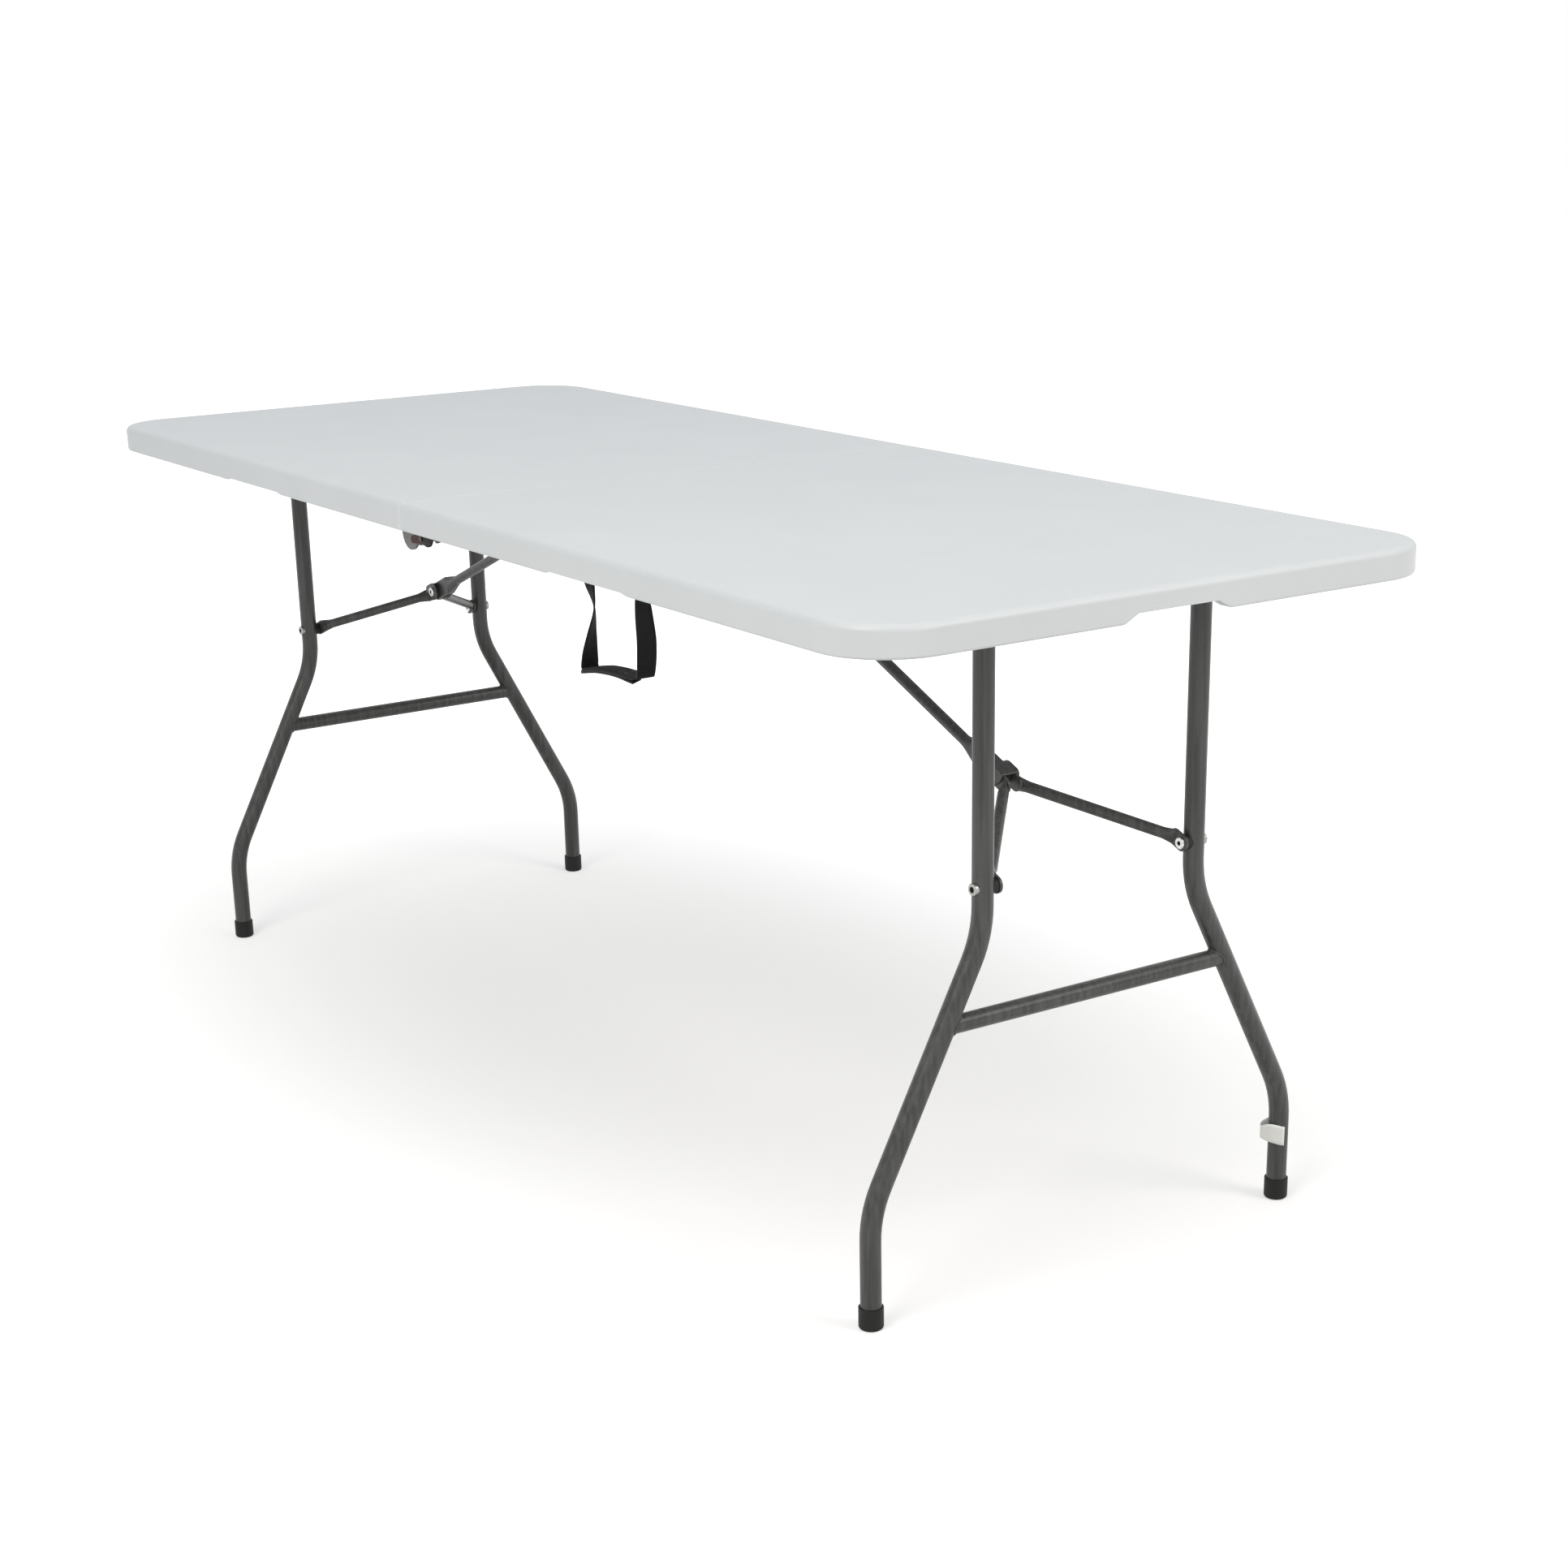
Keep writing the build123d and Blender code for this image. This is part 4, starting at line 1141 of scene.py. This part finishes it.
@dataclass
class ScrewRecesses:
    """Cross recesses in the heads of the screws under one half, drawn as dark crosses of painted
    shade.
    """

    workshop: Workshop
    end: End
    length: float = 4.4 * MM
    breadth: float = 0.9 * MM
    depth: float = 0.3 * MM
    proud: float = 0.04 * MM

    def build(self) -> None:
        """Make the dark crosses of painted shade for the recesses of the half's own screws and of the
        handle's screws.
        """
        tail = self.end.word
        nodes = [f"underside_screws_{tail}"] + (["handle_screws"] if self.end is End.A else [])
        shape = bmesh.new()
        for node in nodes:
            for low, high in self.workshop.solids(node):
                place = Matrix.Translation(((low.x + high.x) / 2, (low.y + high.y) / 2,
                                            low.z - self.proud + self.depth / 2))
                for size in ((self.length, self.breadth), (self.breadth, self.length)):
                    block = place @ Matrix.Diagonal((*size, self.depth, 1.0))
                    bmesh.ops.create_cube(shape, size=1.0, matrix=block)
        # The crosses are painted shade in the screw recesses.
        piece = self.workshop.piece(f"screw_recesses_{tail}", shape, HOLLOW_SHADE, Slot.BRIGHT, smooth=False)
        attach(piece, f"half_{tail}")


@dataclass
class HingeRivets:
    """Rivet heads that hold one half's hinge plates to its rails."""

    workshop: Workshop
    end: End
    radius: float = 3.2 * MM
    height: float = 1.3 * MM
    from_end: Sequence[float] = (7 * MM, 20 * MM, 33 * MM)
    below_top: float = 7 * MM

    def build(self) -> None:
        """Make the heads on both plates."""
        tail = self.end.word
        shape = bmesh.new()
        dome = Matrix.Diagonal((self.radius, self.height, self.radius, 1.0))
        for side in Side:
            low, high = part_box(f"hinge_plate_{side.word}_{tail}")
            rail_low, rail_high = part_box(f"side_rail_{side.word}_{tail}")
            out = 1 if low.y + high.y > rail_low.y + rail_high.y else -1
            face = high.y if out > 0 else low.y
            tip = high.x if self.end.way > 0 else low.x
            for back in self.from_end:
                place = Vector((tip - self.end.way * back, face, high.z - self.below_top))
                bmesh.ops.create_uvsphere(shape, u_segments=20, v_segments=12, radius=1.0,
                                          matrix=Matrix.Translation(place) @ dome)
        piece = self.workshop.piece(f"hinge_rivets_{tail}", shape, FINISHES[Slot.BRIGHT], Slot.BRIGHT)
        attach(piece, f"half_{tail}")


@dataclass
class LatchRidges:
    """Ridges for the thumb on the lower part of the latch lever's round end."""

    workshop: Workshop
    round_radius: float = 12.5 * MM
    heights: Sequence[float] = (-9.6 * MM, -7.2 * MM, -4.8 * MM, -2.4 * MM)
    breadth: float = 1.1 * MM
    proud: float = 0.4 * MM
    margin: float = 2.4 * MM
    bevel: float = 0.3 * MM
    bevel_steps: int = 3

    def build(self) -> None:
        """Make the ridges."""
        low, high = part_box("latch_lever")
        shape = bmesh.new()
        for height in self.heights:
            half = math.sqrt(self.round_radius ** 2 - height ** 2) - self.margin
            place = Vector((high.x - self.round_radius, low.y, low.z + self.round_radius + height))
            block = Matrix.Diagonal((2 * half, 2 * self.proud, self.breadth, 1.0))
            bmesh.ops.create_cube(shape, size=1.0, matrix=Matrix.Translation(place) @ block)
        bmesh.ops.bevel(shape, geom=shape.edges, offset=self.bevel, segments=self.bevel_steps,
                        profile=0.5, affect="EDGES", material=-1)
        piece = self.workshop.piece("latch_ridges", shape, FINISHES[Slot.BLACK], Slot.BLACK)
        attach(piece, "latch")


@dataclass(frozen=True)
class SoftLamp:
    """One broad lamp of the studio, with its sizes in metres and its light in watts."""

    name: str
    place: Sequence[float]
    aim: Sequence[float]
    breadth: float
    power: float
    colour: Colour = (1.0, 1.0, 1.0)

    def hang(self) -> None:
        """Hang the lamp, out of the camera's sight."""
        light = bpy.data.lights.new(self.name, "AREA")
        light.shape = "DISK"
        light.size = self.breadth
        light.energy = self.power
        light.color = self.colour
        lamp = bpy.data.objects.new(self.name, light)
        turn = (Vector(self.aim) - Vector(self.place)).to_track_quat("-Z", "Y")
        lamp.matrix_world = Matrix.Translation(self.place) @ turn.to_matrix().to_4x4()
        lamp.visible_camera = False
        bpy.context.scene.collection.objects.link(lamp)


@dataclass
class Stage:
    """Pale floor and plain soft light."""

    reach: float = 14.0
    floor_colour: Colour = (0.8, 0.79, 0.765)
    floor_shown: Colour = (0.675, 0.662, 0.66)
    # The camera-only glow that whitens the open floor is low near the table and rises outwards along a
    # shifted ellipse: painted shadow, which with the cast shadow sets where the shadow shows.
    floor_lift: tuple[float, float] = (0.36, 1.1)
    lift_reach: tuple[float, float] = (0.2, 2.2)
    lift_stretch: Sequence[float] = (0.8, 1.5, 1.0)
    lift_shift: Sequence[float] = (0.0, -0.075, 0.0)
    sky: Colour = (0.92, 0.97, 1.0)
    sky_strength: float = 0.42
    lamps: Sequence[SoftLamp] = (
        SoftLamp("overhead_lamp", (0.2, 0.1, 4.4), (0.1, 0.0, 0.7), 3.4, 12.0, (0.95, 0.98, 1.0)),
        SoftLamp("front_lamp", (1.6, -3.2, 3.4), (0.4, -0.3, 0.6), 2.4, 84.0, (1.0, 0.965, 0.895)),
        SoftLamp("side_lamp", (3.8, 1.8, 3.0), (0.8, 0.2, 0.6), 2.2, 70.0, (1.0, 0.965, 0.895)),
    )

    def floor_paint(self) -> bpy.types.Material:
        """Make the floor's paint, which keeps the cast shadow, deepens it near the table as painted
        shadow, and is clear from below.

        Returns:
            The material, white where the floor is open.
        """
        material = bpy.data.materials.new("pale_floor")
        material.use_nodes = True
        wiring = Wiring(material.node_tree)
        seen = wiring.plain_view()
        paint = wiring.add("ShaderNodeBsdfDiffuse")
        glow = wiring.add("ShaderNodeEmission")
        # Painted shadow: the glow that the camera sees is weaker close to the table.
        away = wiring.add("ShaderNodeVectorMath", operation="LENGTH")
        rise = wiring.span(away.outputs["Value"], self.lift_reach, self.floor_lift, "SMOOTHSTEP")
        both = wiring.add("ShaderNodeAddShader")
        side = wiring.add("ShaderNodeNewGeometry")
        clear = wiring.add("ShaderNodeBsdfTransparent")
        shown = wiring.add("ShaderNodeMixShader")
        output = wiring.add("ShaderNodeOutputMaterial")
        wiring.joins((
            (wiring.tint(seen, self.floor_colour, self.floor_shown), paint.inputs["Color"]),
            (wiring.place(self.lift_stretch, self.lift_shift), away.inputs[0]),
            (wiring.math("MULTIPLY", seen, rise), glow.inputs["Strength"]),
            (paint.outputs[0], both.inputs[0]), (glow.outputs[0], both.inputs[1]),
            (side.outputs["Backfacing"], shown.inputs["Fac"]),
            (both.outputs[0], shown.inputs[1]), (clear.outputs[0], shown.inputs[2]),
            (shown.outputs[0], output.inputs["Surface"]),
        ))
        return material

    def floor(self) -> None:
        """Lay the floor."""
        shape = bmesh.new()
        bmesh.ops.create_grid(shape, x_segments=1, y_segments=1, size=self.reach)
        mesh = bpy.data.meshes.new("floor")
        shape.to_mesh(mesh)
        shape.free()
        mesh.materials.append(self.floor_paint())
        floor = bpy.data.objects.new("floor", mesh)
        bpy.context.scene.collection.objects.link(floor)

    def world(self) -> None:
        """Light the object evenly from all round, behind a white backdrop."""
        world = bpy.data.worlds.new("white_room")
        bpy.context.scene.world = world
        world.use_nodes = True
        wiring = Wiring(world.node_tree)
        room = wiring.add("ShaderNodeBackground")
        room.inputs["Color"].default_value = (*self.sky, 1)
        room.inputs["Strength"].default_value = self.sky_strength
        white = wiring.add("ShaderNodeBackground")
        white.inputs["Color"].default_value = (1, 1, 1, 1)
        mix = wiring.add("ShaderNodeMixShader")
        output = wiring.add("ShaderNodeOutputWorld")
        wiring.joins((
            (wiring.plain_view(), mix.inputs["Fac"]),
            (room.outputs[0], mix.inputs[1]), (white.outputs[0], mix.inputs[2]),
            (mix.outputs[0], output.inputs["Surface"]),
        ))

    def build(self) -> None:
        """Set up the floor, the room's light and the lamps."""
        self.floor()
        self.world()
        for lamp in self.lamps:
            lamp.hang()
        bpy.context.scene.view_settings.view_transform = "Standard"
        LOG.info("stage is set with %d lamps", len(self.lamps))


@dataclass
class PhotoCamera:
    """Camera of the photograph, with its place in metres and its image in pixels."""

    place: Vector
    heading: float
    dip: float
    roll: float
    focal: float
    centre: tuple[float, float]
    image: float = 1932.0
    sensor: float = 36.0
    farthest: float = 100.0

    def build(self) -> None:
        """Make the camera and look through it."""
        data = bpy.data.cameras.new("photo_camera")
        data.sensor_width = self.sensor
        data.lens = self.focal * self.sensor / self.image
        data.shift_x = 0.5 - self.centre[0] / self.image
        data.shift_y = self.centre[1] / self.image - 0.5
        data.clip_end = self.farthest
        flat = math.cos(self.dip)
        ahead = Vector((math.cos(self.heading) * flat, math.sin(self.heading) * flat,
                        -math.sin(self.dip)))
        right = ahead.cross(Vector((0, 0, 1))).normalized()
        down = ahead.cross(right)
        across = right * math.cos(self.roll) + down * math.sin(self.roll)
        below = down * math.cos(self.roll) - right * math.sin(self.roll)
        turn = Matrix((across, -below, -ahead)).transposed().to_4x4()
        camera = bpy.data.objects.new("photo_camera", data)
        camera.matrix_world = Matrix.Translation(self.place) @ turn
        bpy.context.scene.collection.objects.link(camera)
        bpy.context.scene.camera = camera
        LOG.info("camera looks along %s", tuple(round(v, 3) for v in ahead))


def main() -> None:
    """Load the frame, dress it and set the scene."""
    logging.basicConfig(level=logging.INFO, format="%(name)s: %(message)s")
    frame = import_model()
    workshop = Workshop(frame)
    workshop.dress_nodes()
    CarryHandle(workshop).build()
    LegTag(workshop).build()
    LatchRidges(workshop).build()
    for end in End:
        for kind in (LegWelds, RivetHollows, ScrewRecesses, HingeRivets):
            kind(workshop, end).build()
    Stage().build()
    PhotoCamera(
        place=Vector((2.78427, -1.68269, 1.21536)), heading=2.54897, dip=0.33709, roll=0.01704,
        focal=3301.29, centre=(999.94, 1220.0)).build()


if __name__ == "__main__":
    main()
